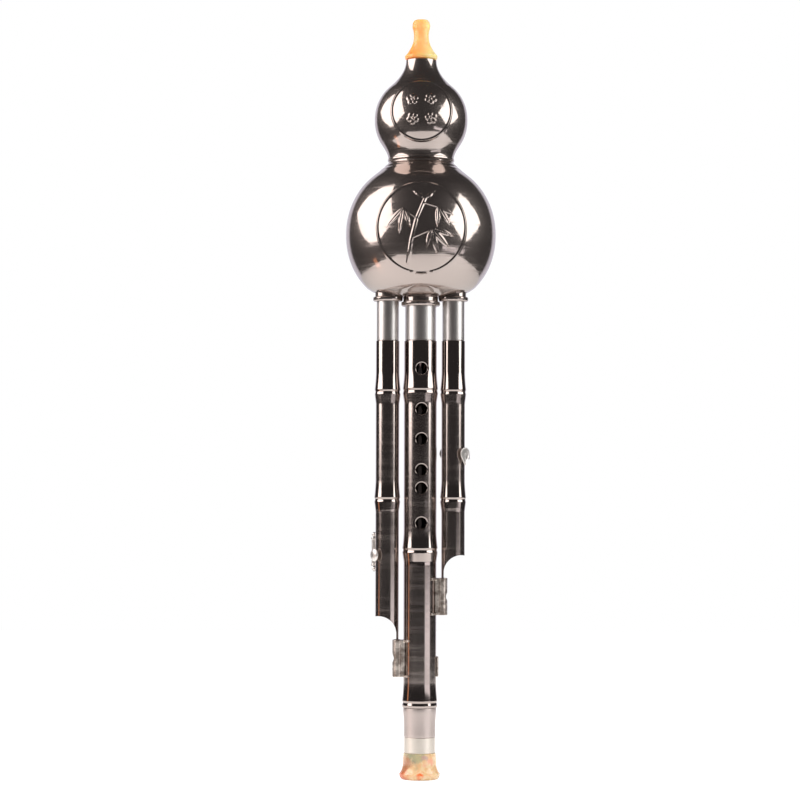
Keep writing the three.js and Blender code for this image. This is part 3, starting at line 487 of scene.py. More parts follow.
def stamped(mesh, ring, relief):
    """Raises a ring and the relief inside it on the front of a bulb, along the bulb's own slope."""
    count = len(mesh.vertices)
    places = np.empty(count * 3)
    mesh.vertices.foreach_get("co", places)
    places = places.reshape(-1, 3)
    slopes = np.empty(count * 3)
    mesh.vertex_normals.foreach_get("vector", slopes)
    slopes = slopes.reshape(-1, 3)
    middle_x, middle_z, half_width, half_height = ring
    x, z = places[:, 0] - middle_x, places[:, 2] - middle_z
    out = np.hypot(x / half_width, z / half_height)
    ring_gap = np.abs(out - 1) * half_width / (RING_WIDTH / 2)
    height = RING_HEIGHT * eased(1 - ring_gap)
    front = (places[:, 1] < 0) & (out < 1.2)
    inside = np.where(out < 1 - RING_WIDTH / half_width, STAMP_HEIGHT * relief(x / MM, z / MM), 0)
    height = np.where(front, np.maximum(height, inside), 0)
    places += slopes * height[:, None]
    mesh.vertices.foreach_set("co", places.ravel())


def denser(outline, low, high, step):
    """Adds points to an outline between two heights, no further apart than the step."""
    points = [outline[0]]
    for (before_r, before_z), (radius, height) in zip(outline, outline[1:]):
        gap = math.hypot(radius - before_r, height - before_z)
        inside = low < height < high and radius > WAIST_RADIUS / 2
        pieces = max(1, math.ceil(gap / step)) if inside else 1
        for part in range(1, pieces + 1):
            share = part / pieces
            points.append((before_r + share * (radius - before_r), before_z + share * (height - before_z)))
    return points


def front_turns(half_angle, fine, coarse):
    """Angles round the axis, close together at the front and further apart elsewhere."""
    front = math.radians(270)
    half = math.radians(half_angle)
    fine_count = round(2 * half / math.radians(fine))
    rest_count = round((2 * math.pi - 2 * half) / math.radians(coarse))
    angles = [front - half + 2 * half * at / fine_count for at in range(fine_count)]
    angles += [front + half + (2 * math.pi - 2 * half) * at / rest_count for at in range(rest_count)]
    return angles


def own_place(make):
    """Where a point is on its own piece, in metres."""
    return make("ShaderNodeTexCoord").outputs["Object"]


def tone_noise(make, place, scale, detail=2.0, distortion=0.0, result=0):
    inputs = {"Vector": place, "Scale": scale, "Detail": detail, "Distortion": distortion}
    return make("ShaderNodeTexNoise", inputs).outputs[result]


def vector_maths(make, way, first, second, result=0):
    return make("ShaderNodeVectorMath", {0: first, 1: second}, operation=way).outputs[result]


def turning_marks_group():
    """Fine marks that run round a turned piece: a mask of their streaks and a height for bump."""
    group = bpy.data.node_groups.new("turning_marks", "ShaderNodeTree")
    for name, way in (("Along", "INPUT"), ("Around", "INPUT"), ("Streaks", "OUTPUT"), ("Height", "OUTPUT")):
        group.interface.new_socket(name, in_out=way, socket_type="NodeSocketFloat")
    make = node_maker(group)
    given = make("NodeGroupInput").outputs
    stretch = make("ShaderNodeCombineXYZ", {"X": given["Around"], "Y": given["Around"], "Z": given["Along"]})
    stretched = vector_maths(make, "MULTIPLY", own_place(make), stretch.outputs[0])
    marks = tone_noise(make, stretched, 1.0, 3.0)
    make("NodeGroupOutput", {"Streaks": ramp(make, marks, 0.45, 0.7), "Height": marks})
    return group


turning_marks = turning_marks_group()


def marks_node(make, along, around):
    return make("ShaderNodeGroup", {"Along": along, "Around": around}, node_tree=turning_marks).outputs


def metal_shader(make, colour, roughness, grain, height, strength, depth):
    """A metal's surface, with its highlights drawn out by the grain and the height shown as fine marks."""
    bump = make("ShaderNodeBump", {"Height": height, "Strength": strength, "Distance": depth})
    return make("ShaderNodeBsdfPrincipled", {
        "Base Color": colour,
        "Metallic": 1.0,
        "Roughness": roughness,
        "Anisotropic": grain,
        "Anisotropic Rotation": 0.25,
        "Normal": bump.outputs[0],
    }).outputs[0]


def metal(name, colour, polish, satin, marks, depth, grain=0.0, haze=0.0):
    """A plated metal: polished between its turning marks, satin in them."""
    finish, make = new_finish(name)
    worn = marks_node(make, *marks)
    roughness = ramp(make, worn["Streaks"], 0.0, 1.0, polish, satin)
    surface = metal_shader(make, colour, roughness, grain, worn["Height"], 1.0, depth)
    if haze:
        soft = make("ShaderNodeBsdfAnisotropic", {"Color": colour, "Roughness": HAZE_ROUGHNESS})
        surface = make("ShaderNodeMixShader", {0: haze, 1: surface, 2: soft.outputs[0]}).outputs[0]
    return surfaced(finish, make, surface)


polished_nickel = metal(
    "polished_black_nickel", BLACK_NICKEL, 0.05, 0.22, (1400.0, 25.0), 0.000004, 0.6, HAZE)


def settled(piece):
    """Turns a piece with its modifiers into a plain mesh."""
    now = bpy.context.evaluated_depsgraph_get()
    mesh = bpy.data.meshes.new_from_object(piece.evaluated_get(now))
    mesh.name = piece.name
    piece.modifiers.clear()
    piece.data = mesh
    return piece


def solid_with(piece, other, way="DIFFERENCE"):
    """Cuts one closed piece with another, or joins the two, and uses the other up."""
    modifier = piece.modifiers.new("solid", "BOOLEAN")
    modifier.operation = way
    modifier.solver = "MANIFOLD"
    modifier.object = other
    settled(piece)
    bpy.data.objects.remove(other)
    return piece


def drum(name, radius, low, high, facets=48, across=0.0):
    outline = [(0, low), (radius, low), (radius, high), (0, high)]
    return turned_mesh(name, outline, even_turns(facets), across)


PIPE_SPACING = 0.019
MAIN_SLEEVE, DRONE_SLEEVE = 0.00895, 0.00642
FERRULE_WALL, FERRULE_TOP = 0.00075, 0.2904
SOCKETS = {
    "main": (0.0, MAIN_SLEEVE),
    "left": (-PIPE_SPACING, DRONE_SLEEVE),
    "right": (PIPE_SPACING, DRONE_SLEEVE),
}

lower_outline = denser(lower_gourd_outline(), *LOWER_STAMP)
lower_mesh = turned_mesh("lower_gourd", lower_gourd_walls(lower_outline), front_turns(*LOWER_FRONT))
stamped(lower_mesh, LOWER_RING, sprig_relief)
lower_gourd = linked(lower_mesh)
for across, sleeve_radius in SOCKETS.values():
    hole_radius = sleeve_radius + 2 * SLIDE_GAP + FERRULE_WALL
    hole = drum("socket_hole", hole_radius, GOURD_BOTTOM - OVERRUN, FERRULE_TOP, 64, across)
    solid_with(lower_gourd, linked(hole))
fitted(smooth_faces(lower_gourd), "gourd", "black_nickel", polished_nickel, "gourd_lower_shell")

upper_outline = denser(upper_gourd_outline(), *UPPER_STAMP)
upper_mesh = turned_mesh("upper_gourd", upper_gourd_walls(upper_outline), front_turns(*UPPER_FRONT))
stamped(upper_mesh, UPPER_RING, blossom_relief)
fitted(shown_piece(upper_mesh), "gourd", "black_nickel", polished_nickel, "gourd_upper_shell")


# Socket ferrules: a turned collar under the gourd for each pipe, with a wider lip round its lower half.
# They are brazed into the gourd's floor and plated with it, and a thin tube behind each guides the sleeve.
COLLAR_LIP = 0.0012
MAIN_COLLAR, DRONE_COLLAR = (0.0101, 0.2724), (0.0074, 0.2752)
LIP_EDGE, UNDERSIDE_GAP = 0.0003, 0.0001
COLLAR_FACETS = 96


def underside_height(x, y):
    base_radius, base_rise = GOURD_BASE
    return GOURD_BOTTOM + base_rise * (math.hypot(x, y) / base_radius) ** 2


def ferrule_mesh(name, across, sleeve_radius, collar, base):
    """A turned ferrule whose collar is trimmed to the gourd's underside."""
    bore = sleeve_radius + SLIDE_GAP
    throat = bore + FERRULE_WALL
    lip = collar + COLLAR_LIP
    seat = GOURD_BOTTOM + GOURD_BASE[1]
    rim = LIP_EDGE
    lip_top = base + 2 * COLLAR_LIP
    outline = [
        (bore + rim, base),
        (collar + COLLAR_LIP / 2, base),
        (lip - rim / 2, base + COLLAR_LIP / 2 - rim / 2),
        (lip, base + COLLAR_LIP / 2 + rim / 2),
        (lip, lip_top - rim),
        (lip - rim, lip_top),
        (collar + rim, lip_top),
        (collar, lip_top + rim),
        (collar, seat),
        (throat, seat),
        (throat, FERRULE_TOP),
        (bore, FERRULE_TOP),
        (bore, base + rim),
    ]
    mesh = turned_mesh(name, outline, even_turns(COLLAR_FACETS), across)
    for vertex in mesh.vertices:
        x, y, height = vertex.co
        if height < FERRULE_TOP - rim:
            vertex.co.z = min(height, underside_height(x, y) - UNDERSIDE_GAP)
    return mesh


for side, (across, sleeve_radius) in SOCKETS.items():
    collar, base = MAIN_COLLAR if side == "main" else DRONE_COLLAR
    ferrule = shown_piece(ferrule_mesh(side + "_ferrule", across, sleeve_radius, collar, base))
    fitted(ferrule, "gourd", "black_nickel", polished_nickel, side + "_socket_ferrule")


# Tuning sleeves: thin tubes of satin nickel between the gourd and the pipes.
# A spigot at the bottom holds the pipe, and a band of cork near the top runs in the ferrule.
SLEEVE_SHOULDER, SLEEVE_TOP = 0.2524, 0.2944
SLEEVE_TENON, SLEEVE_WALL = 0.0052, 0.00125
CORK_THICKNESS, CORK_WIDTH, CORK_INSET = 0.00075, 0.007, 0.004
MAIN_PIPE_RADIUS, MAIN_PIPE_BORE = 0.0095, 0.0082
DRONE_PIPE_RADIUS, DRONE_PIPE_BORE = 0.0068, 0.0056
EDGE_BREAK = 0.0002
SATIN_NICKEL = (0.75, 0.715, 0.69, 1)


def cork_groove(tenon, low, high):
    """Points up a tenon past the groove that its cork band lies in."""
    floor = tenon - CORK_THICKNESS
    return [(tenon, low), (floor, low), (floor, high), (tenon, high)]


def sleeve_mesh(name, across, radius, pipe_bore):
    spigot = pipe_bore - SLIDE_GAP
    bore = radius - CORK_THICKNESS - SLEEVE_WALL
    tenon_end = SLEEVE_SHOULDER - SLEEVE_TENON
    cork_top = SLEEVE_TOP - CORK_INSET
    outline = [
        (bore, tenon_end),
        (spigot - EDGE_BREAK, tenon_end),
        (spigot, tenon_end + EDGE_BREAK),
        (spigot, SLEEVE_SHOULDER),
        (radius - EDGE_BREAK, SLEEVE_SHOULDER),
        (radius, SLEEVE_SHOULDER + EDGE_BREAK),
        *cork_groove(radius, cork_top - CORK_WIDTH, cork_top),
        (radius, SLEEVE_TOP - EDGE_BREAK),
        (radius - EDGE_BREAK, SLEEVE_TOP),
        (bore, SLEEVE_TOP),
    ]
    return turned_mesh(name, outline, even_turns(COLLAR_FACETS), across)


satin_nickel = metal("satin_nickel", SATIN_NICKEL, 0.36, 0.4, (2600.0, 60.0), 0.0000006)
for side, (across, sleeve_radius) in SOCKETS.items():
    pipe_bore = MAIN_PIPE_BORE if side == "main" else DRONE_PIPE_BORE
    sleeve = shown_piece(sleeve_mesh(side + "_sleeve", across, sleeve_radius, pipe_bore))
    body = "main_pipe" if side == "main" else side + "_drone"
    fitted(sleeve, body, "satin_nickel", satin_nickel, side + "_tuning_sleeve")


# Pipes: tubes swaged to look like bamboo, with a groove and a swell at each node, plated in black nickel.
# The wall is drawn round a line of points by a tree, and its radius there follows the distance to the nodes.
PIPE_TOP = 0.2521
MAIN_PIPE_BASE = 0.0410
# The heights of the nodes, and how far the polish runs on below each
MAIN_NODES, MAIN_RUNS = [0.0437, 0.1313, 0.2234], [0, 0.0073, 0]
DRONE_NODES, DRONE_RUNS = [0.1605, 0.2227], [0.0038, 0]
NODE_SHAPE = {"Rise": 0.0007, "Swell": 0.011, "Flare": 0.007, "Seat": 0.0015, "Chamfer": 0.0011,
              "Groove": 0.00035, "Curl": 1.5}
PIPE_FACETS = 112
FINGER_HOLES = [0.2358, 0.2124, 0.1951, 0.1773, 0.1668, 0.1467]
FINGER_HOLE_RADIUS, THUMB_HOLE_RADIUS, VENT_RADIUS = 0.00325, 0.0026, 0.002
THUMB_HOLE, VENT = 0.2428, 0.1041
HOLE_ROUND, HOLE_ROUND_STEPS = 0.0008, 6
FRONT_TURN = math.radians(-90 + 4)
SCOOP_RADIUS, SCOOP_OFFSET = 0.010, 0.0046
TONGUE_PLANE = SCOOP_OFFSET - SCOOP_RADIUS
SCOOP_LEVELS = {"left": 0.0833, "right": 0.1184}
TONGUE_ENDS = {"left": 0.0605, "right": 0.0960}
TONE_HOLE_RADIUS, CHIMNEY_WALL, CHIMNEY_HEIGHT, CHIMNEY_ROOT = 0.0022, 0.0007, 0.0008, 0.0006
KEY_LEVELS = {"left": 0.1301, "right": 0.1869}
KEY_ANGLES = {"left": 37, "right": 60}
PAD_ANGLE = 55
# Along a pipe's axis, how near below and above a node the points are how close together
AXIS_STEPS = [(-0.0035, 0.002, 0.00018), (-0.0085, 0.0125, 0.0005)]
AXIS_STEP, AXIS_END = 0.002, 0.0002
# How rough the metal is where it is polished and where it is brushed. The lowest length is smoother: the top
# of that length, how far the change runs down from there, and the share of roughness that is left.
POLISHED, BRUSHED = 0.09, (0.18, 0.24)
LOWEST_TOP, LOWEST_BLEND, LOWEST_SHARE = 0.135, 0.07, 0.78
POLISH_WANDER, POLISH_EDGE, WANDER_SCALE = 0.0012, 0.0004, 140.0
PIPE_MARKS, PIPE_MARK_DEPTH = (520.0, 30.0), 0.000009


def numbered(name, count):
    return [name + " " + str(number + 1) for number in range(count)]


def new_tree(name, inputs, result):
    """An empty tree with inputs of the given kinds and one result, and the function that adds its nodes."""
    tree = bpy.data.node_groups.new(name, "GeometryNodeTree")
    for label, kind in inputs.items():
        tree.interface.new_socket(label, in_out="INPUT", socket_type="NodeSocket" + kind)
    tree.interface.new_socket(result, in_out="OUTPUT", socket_type="NodeSocketGeometry")
    return tree, node_maker(tree)


def end_tree(make, result, shape, finish):
    plain = make("GeometryNodeRealizeInstances", {"Geometry": shape}).outputs[0]
    shown = make("GeometryNodeSetMaterial", {"Geometry": plain, "Material": finish}).outputs[0]
    make("NodeGroupOutput", {result: shown})


def bamboo_tree(node_count):
    """A tree that draws a pipe's outside round a line of points, wider towards each bamboo node."""
    levels = numbered("Node", node_count)
    inputs = {"Axis": "Geometry", "Facets": "Int", "Finish": "Material"}
    inputs.update(dict.fromkeys(["Radius"] + list(NODE_SHAPE) + levels, "Float"))
    tree, make = new_tree("bamboo_pipe", inputs, "Pipe")
    given = make("NodeGroupInput").outputs
    height = along_axis(make, make("GeometryNodeInputPosition").outputs[0], "Z")
    flare_start = maths(make, "MULTIPLY", given["Flare"], -1.0)
    seat_start = maths(make, "MULTIPLY", given["Seat"], -1.0)
    widening = 0.0
    for name in levels:
        away = maths(make, "SUBTRACT", height, given[name])
        near = ramp(make, away, given["Chamfer"], given["Swell"], 1.0, 0.0)
        swell = maths(make, "MULTIPLY", maths(make, "POWER", near, given["Curl"]), given["Rise"])
        flare = ramp(make, away, flare_start, seat_start, 0.0, given["Rise"])
        groove_above = ramp(make, away, 0.0, given["Chamfer"], given["Groove"], 0.0)
        groove_below = ramp(make, away, seat_start, 0.0, 0.0, given["Groove"])
        raised = maths(make, "MINIMUM", swell, flare)
        sunk = maths(make, "MINIMUM", groove_above, groove_below)
        widening = maths(make, "MAXIMUM", widening, maths(make, "SUBTRACT", raised, sunk))
    radius = maths(make, "ADD", given["Radius"], widening)
    path = make("GeometryNodeMeshToCurve", {"Mesh": given["Axis"]}).outputs[0]
    ring = make("GeometryNodeCurvePrimitiveCircle", {"Resolution": given["Facets"], "Radius": 1.0})
    wall = make("GeometryNodeCurveToMesh", {
        "Curve": path, "Profile Curve": ring.outputs[0], "Scale": radius})
    end_tree(make, "Pipe", wall.outputs[0], given["Finish"])
    return tree


def repeat_tree():
    """A tree that sets a copy of one part on every point."""
    inputs = {"Points": "Geometry", "Part": "Object", "Finish": "Material"}
    tree, make = new_tree("repeated_part", inputs, "Parts")
    given = make("NodeGroupInput").outputs
    part = make("GeometryNodeObjectInfo", {"Object": given["Part"]}).outputs["Geometry"]
    copies = make("GeometryNodeInstanceOnPoints", {"Points": given["Points"], "Instance": part})
    end_tree(make, "Parts", copies.outputs[0], given["Finish"])
    return tree


def grown(piece, tree, values):
    """Runs a tree on a piece with the given inputs and leaves a plain mesh."""
    modifier = piece.modifiers.new("tree", "NODES")
    modifier.node_group = tree
    for item in tree.interface.items_tree:
        if item.in_out == "INPUT" and item.name in values:
            modifier[item.identifier] = values[item.name]
    return settled(piece)


repeated_part = repeat_tree()


def repeated(name, points, part, finish):
    made = grown(linked(shaped(name, points, [])), repeated_part, {"Part": part, "Finish": finish})
    bpy.data.objects.remove(part)
    return made


def outward(piece):
    """Turns every face of a closed piece outwards."""
    shape = bmesh.new()
    shape.from_mesh(piece.data)
    bmesh.ops.recalc_face_normals(shape, faces=shape.faces)
    shape.to_mesh(piece.data)
    shape.free()
    return piece


def axis_heights(low, high, levels):
    """Heights along a pipe, close together round each node."""
    heights = [low]
    while heights[-1] < high - AXIS_END:
        now = heights[-1]
        steps = [AXIS_STEP]
        for below, above, step in AXIS_STEPS:
            if any(below < now - level < above for level in levels):
                steps.append(step)
        heights.append(min(high, now + min(steps)))
    return heights


def bamboo_pipe(name, across, radius, bore, low, levels, finish):
    heights = axis_heights(low, PIPE_TOP, levels)
    lines = [(at, at + 1) for at in range(len(heights) - 1)]
    axis = shaped(name, [(across, 0, height) for height in heights], [], lines)
    values = dict(NODE_SHAPE, Radius=radius, Facets=PIPE_FACETS, Finish=finish)
    values.update(zip(numbered("Node", len(levels)), levels))
    piece = grown(linked(axis), bamboo_tree(len(levels)), values)
    wall = piece.modifiers.new("wall", "SOLIDIFY")
    wall.thickness = radius - bore
    wall.offset = -1
    return outward(settled(piece))


def hole_cutter(name, radius, pipe_radius, facing):
    """A drill that runs from a pipe's axis out through one wall and rounds the rim of its hole evenly."""
    outline = [(0, 0), (radius, 0)]
    for step in range(HOLE_ROUND_STEPS + 1):
        turn = math.radians(90 * step / HOLE_ROUND_STEPS)
        out = radius + HOLE_ROUND * (1 - math.cos(turn))
        outline.append((out, pipe_radius - HOLE_ROUND + HOLE_ROUND * math.sin(turn)))
    outline += [(radius + 2 * HOLE_ROUND, pipe_radius + OVERRUN), (0, pipe_radius + OVERRUN)]
    mesh = turned_mesh(name, outline, even_turns(72))
    for vertex in mesh.vertices:
        if vertex.co.z > 0:
            vertex.co.z -= pipe_radius - math.sqrt(pipe_radius ** 2 - vertex.co.y ** 2)
    mesh.transform(Matrix.Rotation(facing, 4, "Z") @ Matrix.Rotation(math.pi / 2, 4, "Y"))
    return linked(mesh)


def moved(piece, place):
    piece.data.transform(place)
    if place.determinant() < 0:
        piece.data.flip_normals()
    return piece


def prism(name, outline, low, high):
    """A straight-sided block over an outline that runs anticlockwise."""
    count = len(outline)
    points = [(x, y, height) for height in (low, high) for x, y in outline]
    faces = [tuple(range(count))[::-1], tuple(range(count, 2 * count))]
    for at in range(count):
        after = (at + 1) % count
        faces.append((at, after, after + count, at + count))
    return shaped(name, points, faces)


def slab(name, low, high):
    (x, y, z), (far_x, far_y, far_z) = low, high
    return prism(name, [(x, y), (far_x, y), (far_x, far_y), (x, far_y)], z, far_z)


def pipe_metal(name, levels, runs, holes):
    """Black nickel, polished above the top node, on each swell and round the holes, and brushed elsewhere."""
    finish, make = new_finish(name)
    place = own_place(make)
    height = along_axis(make, place, "Z")
    seat, swell = NODE_SHAPE["Seat"], NODE_SHAPE["Swell"]
    polished = soft_ramp(make, height, levels[-1] - seat, levels[-1])
    wander = soft_ramp(make, tone_noise(make, place, WANDER_SCALE), 0.3, 0.7, -POLISH_WANDER, POLISH_WANDER)
    edge = maths(make, "ADD", height, wander)
    for level, run in zip(levels, runs):
        above = soft_ramp(make, height, level + swell / 2, level + swell, 1.0, 0.0)
        start = level - seat - run
        below = soft_ramp(make, edge if run else height, start, start + POLISH_EDGE)
        polished = maths(make, "MAXIMUM", polished, maths(make, "MINIMUM", above, below))
    flat = vector_maths(make, "MULTIPLY", place, (1, 0, 1))
    for level in holes:
        away = vector_maths(make, "DISTANCE", flat, (0, 0, level), "Value")
        rim = FINGER_HOLE_RADIUS + HOLE_ROUND
        round_hole = soft_ramp(make, away, rim - POLISH_EDGE / 4, rim + POLISH_EDGE / 4, 1.0, 0.0)
        polished = maths(make, "MAXIMUM", polished, round_hole)
    worn = marks_node(make, *PIPE_MARKS)
    lowest = soft_ramp(make, height, LOWEST_TOP - LOWEST_BLEND, LOWEST_TOP, LOWEST_SHARE)
    brushed = maths(make, "MULTIPLY", soft_ramp(make, worn["Streaks"], 0.0, 1.0, *BRUSHED), lowest)
    roughness = make("ShaderNodeMix", {0: polished, 2: brushed, 3: POLISHED}).outputs[0]
    grain = soft_ramp(make, polished, 0.0, 1.0, 0.25, 0.3)
    strength = soft_ramp(make, polished, 0.0, 1.0, 1.0, 0.03)
    return surfaced(finish, make, metal_shader(
        make, BLACK_NICKEL, roughness, grain, worn["Height"], strength, PIPE_MARK_DEPTH))


main_nickel = pipe_metal("main_pipe_nickel", MAIN_NODES, MAIN_RUNS, FINGER_HOLES)
main_pipe = bamboo_pipe(
    "main_pipe", 0, MAIN_PIPE_RADIUS, MAIN_PIPE_BORE, MAIN_PIPE_BASE, MAIN_NODES, main_nickel)
finger_drill = hole_cutter("finger_drill", FINGER_HOLE_RADIUS, MAIN_PIPE_RADIUS, FRONT_TURN)
finger_places = [(0, 0, level) for level in FINGER_HOLES]
solid_with(main_pipe, repeated("finger_holes", finger_places, finger_drill, main_nickel))
for radius, level in ((THUMB_HOLE_RADIUS, THUMB_HOLE), (VENT_RADIUS, VENT)):
    drill = hole_cutter("back_drill", radius, MAIN_PIPE_RADIUS, FRONT_TURN + math.pi)
    solid_with(main_pipe, moved(drill, Matrix.Translation((0, 0, level))))
fitted(smooth_faces(main_pipe, crease=28), "main_pipe", "black_nickel", main_nickel, "main_pipe")


def side_place(side):
    """Moves a piece from a drone's own axis, with the main pipe towards -X, to its side of the hulusi."""
    way = 1 if side == "right" else -1
    return Matrix.Translation((way * PIPE_SPACING, 0, 0)) @ Matrix.Scale(way, 4, (1, 0, 0))


def radial(turn, level):
    """Lays a piece that stands on +Z out from the drone's axis, at a turn in degrees and at a height."""
    lift = Matrix.Translation((0, 0, level))
    return lift @ Matrix.Rotation(math.radians(turn), 4, "Z") @ Matrix.Rotation(math.pi / 2, 4, "Y")


def laid_across(x, level):
    """Lays a piece that stands on +Z along Y, at a place."""
    return Matrix.Translation((x, 0, level)) @ Matrix.Rotation(math.pi / 2, 4, "X")


drone_nickel = pipe_metal("drone_pipe_nickel", DRONE_NODES, DRONE_RUNS, [])
for side in ("left", "right"):
    place = side_place(side)
    level, end = SCOOP_LEVELS[side], TONGUE_ENDS[side]
    reach = DRONE_PIPE_RADIUS + OVERRUN
    pipe = bamboo_pipe(side + "_drone_pipe", place.translation.x, DRONE_PIPE_RADIUS, DRONE_PIPE_BORE, end,
                       DRONE_NODES, drone_nickel)
    scoop = linked(drum("scoop", SCOOP_RADIUS, -reach, reach, 160))
    solid_with(pipe, moved(scoop, place @ laid_across(SCOOP_OFFSET, level)))
    below = linked(slab("below", (TONGUE_PLANE, -reach, end - OVERRUN), (reach, reach, level)))
    solid_with(pipe, moved(below, place))
    turned_to = place @ radial(KEY_ANGLES[side] + PAD_ANGLE, KEY_LEVELS[side])
    seat = DRONE_PIPE_RADIUS + CHIMNEY_HEIGHT
    root = DRONE_PIPE_RADIUS - CHIMNEY_ROOT
    chimney = linked(drum("chimney", TONE_HOLE_RADIUS + CHIMNEY_WALL, root, seat))
    solid_with(pipe, moved(chimney, turned_to), "UNION")
    solid_with(pipe, moved(linked(drum("tone_hole", TONE_HOLE_RADIUS, 0, seat + OVERRUN)), turned_to))
    smooth_faces(pipe, crease=28)
    fitted(pipe, side + "_drone", "black_nickel", drone_nickel, side + "_drone_pipe")


# Clips: silvery sleeves of antiqued, hammered metal that hold each drone's tongue against the main pipe.
# Each is a flattened roll with a notched edge, with a band round the back and two small claws in front.
CLIP_HEIGHT = 0.0212
CLIP_BASES = {"left": 0.0585, "right": 0.0940}
BAND_ARCS = {"left": 190, "right": 100}
BAND_HEIGHT, BAND_THICKNESS = 0.0116, 0.001
ROLL = (0.01275, 0.00315, 0.0054, 2.4)
ROLL_BORE = (0.01325, 0.00175, 0.0045, 2.6)
CLAW_HEIGHT, CLAW_THICKNESS = 0.0012, 0.0007
CLAW_ARC = (-50, -5)
SADDLE_START, SADDLE_END, SADDLE_HALF = 0.0086, 0.0122, 0.0046
NOTCH_RADIUS, NOTCH_DEPTH, NOTCH_HALF = 0.0035, 0.0009, 0.008
CLIP_GRAIN, DENT_DEPTH, DENT_PITCH = 0.00019, 0.00004, 0.0024
ANTIQUE_DARK, ANTIQUE_RUBBED = (0.34, 0.28, 0.24, 1), (0.84, 0.75, 0.67, 1)


def oval(centre, half_width, half_depth, power, steps=48):
    """The outline of a rounded oval, as x and y."""
    points = []
    for at in range(steps):
        turn = 2 * math.pi * at / steps
        x, y = math.cos(turn), math.sin(turn)
        points.append((centre + half_width * math.copysign(abs(x) ** (2 / power), x),
                       half_depth * math.copysign(abs(y) ** (2 / power), y)))
    return points


def sector(inner, outer, start, end):
    """The outline of a part of a ring between two turns in degrees."""
    steps = max(2, math.ceil((end - start) / 4))
    turns = [math.radians(start + (end - start) * at / steps) for at in range(steps + 1)]
    there = [on_circle(outer, turn) for turn in turns]
    back = [on_circle(inner, turn) for turn in turns[::-1]]
    return there + back


def grown_together(name, meshes, grain):
    """Joins closed shapes into one skin with soft edges, made of squares as wide as the grain."""
    shape = bmesh.new()
    for mesh in meshes:
        shape.from_mesh(mesh)
    joined = bpy.data.meshes.new(name)
    shape.to_mesh(joined)
    shape.free()
    piece = linked(joined)
    skin = piece.modifiers.new("skin", "REMESH")
    skin.mode = "VOXEL"
    skin.voxel_size = grain
    soft = piece.modifiers.new("soft", "SMOOTH")
    soft.factor = 0.5
    soft.iterations = 3
    return settled(piece)


def hammered(piece, depth, pitch):
    """Dents a piece along its own slopes with fixed noise."""
    mesh = piece.data
    slopes = [vertex.normal.copy() for vertex in mesh.vertices]
    for vertex, slope in zip(mesh.vertices, slopes):
        dent = noise.noise(vertex.co / pitch) + 0.5 * noise.noise(vertex.co * 2.3 / pitch)
        vertex.co += slope * (depth * dent)


def clip_piece(side):
    base, arc = CLIP_BASES[side], BAND_ARCS[side]
    top = base + CLIP_HEIGHT
    under, over = base - OVERRUN, top + OVERRUN
    seat = MAIN_PIPE_RADIUS + SLIDE_GAP
    band = sector(seat - BAND_THICKNESS, seat + BAND_THICKNESS, 0, arc)
    claw = sector(seat - CLAW_THICKNESS, seat + CLAW_THICKNESS, *CLAW_ARC)
    body = linked(prism("roll", oval(*ROLL), base, top))
    added = [slab("saddle", (SADDLE_START, -SADDLE_HALF, base), (SADDLE_END, SADDLE_HALF, top)),
             prism("band", band, base, base + BAND_HEIGHT)]
    added += [prism("claw", claw, low, low + CLAW_HEIGHT) for low in (base, top - CLAW_HEIGHT)]
    for part in added:
        solid_with(body, linked(part), "UNION")
    notch = drum("notch", NOTCH_RADIUS, -NOTCH_HALF, NOTCH_HALF)
    notch.transform(laid_across(ROLL[0] + ROLL[1] + NOTCH_RADIUS - NOTCH_DEPTH, (base + top) / 2))
    bore = prism("roll_bore", oval(*ROLL_BORE), under, over)
    for room in (bore, drum("pipe_room", seat, under, over, 128), notch):
        solid_with(body, linked(room))
    clip = grown_together(side + "_clip", [body.data], CLIP_GRAIN)
    bpy.data.objects.remove(body)
    hammered(clip, DENT_DEPTH, DENT_PITCH)
    if side == "left":
        moved(clip, Matrix.Scale(-1, 4, (1, 0, 0)))
    return smooth_faces(clip, crease=70)


def antique_metal(name):
    """Silver that is dark in its dents and brighter, a little golden, where it is rubbed."""
    finish, make = new_finish(name)
    patches = tone_noise(make, own_place(make), 300.0)
    colour = colour_mix(make, ramp(make, patches, 0.36, 0.6), ANTIQUE_DARK, ANTIQUE_RUBBED)
    roughness = ramp(make, patches, 0.0, 1.0, 0.4, 0.28)
    return surfaced(finish, make, metal_shader(make, colour, roughness, 0.5, patches, 0.3, 0.00005))


antique_silver = antique_metal("antique_silver")
for side in ("left", "right"):
    fitted(clip_piece(side), "main_pipe", "antique_silver", antique_silver, side + "_drone_clip")


# Drone keys: a rib soldered to each drone pipe carries two ball-ended posts, with a rod through the balls.
# On the rod turns a lever in one casting, with its touch in front and the cup of the pad behind.
KEY_AXIS = 0.0094
POST_SPREAD = 0.0099
RIB_WIDTH, RIB_THICKNESS = 0.0034, 0.0005
ROD_RADIUS, HINGE_RADIUS, HINGE_HALF, HINGE_RING = 0.0007, 0.0015, 0.0082, 0.0003
LEVER_THICKNESS, LEVER_WIDTH, LEVER_DROP = 0.0011, 0.003, 0.0017
ARM_INNER = 0.00857
TOUCH_ANGLES = {"left": -34, "right": -43}
TOUCH_RADIUS, TEARDROP_TIP, TEARDROP_RISE = 0.0037, 0.0052, 0.0015
TEARDROP_ARC, TEARDROP_STEPS = range(-110, 111, 5), 8
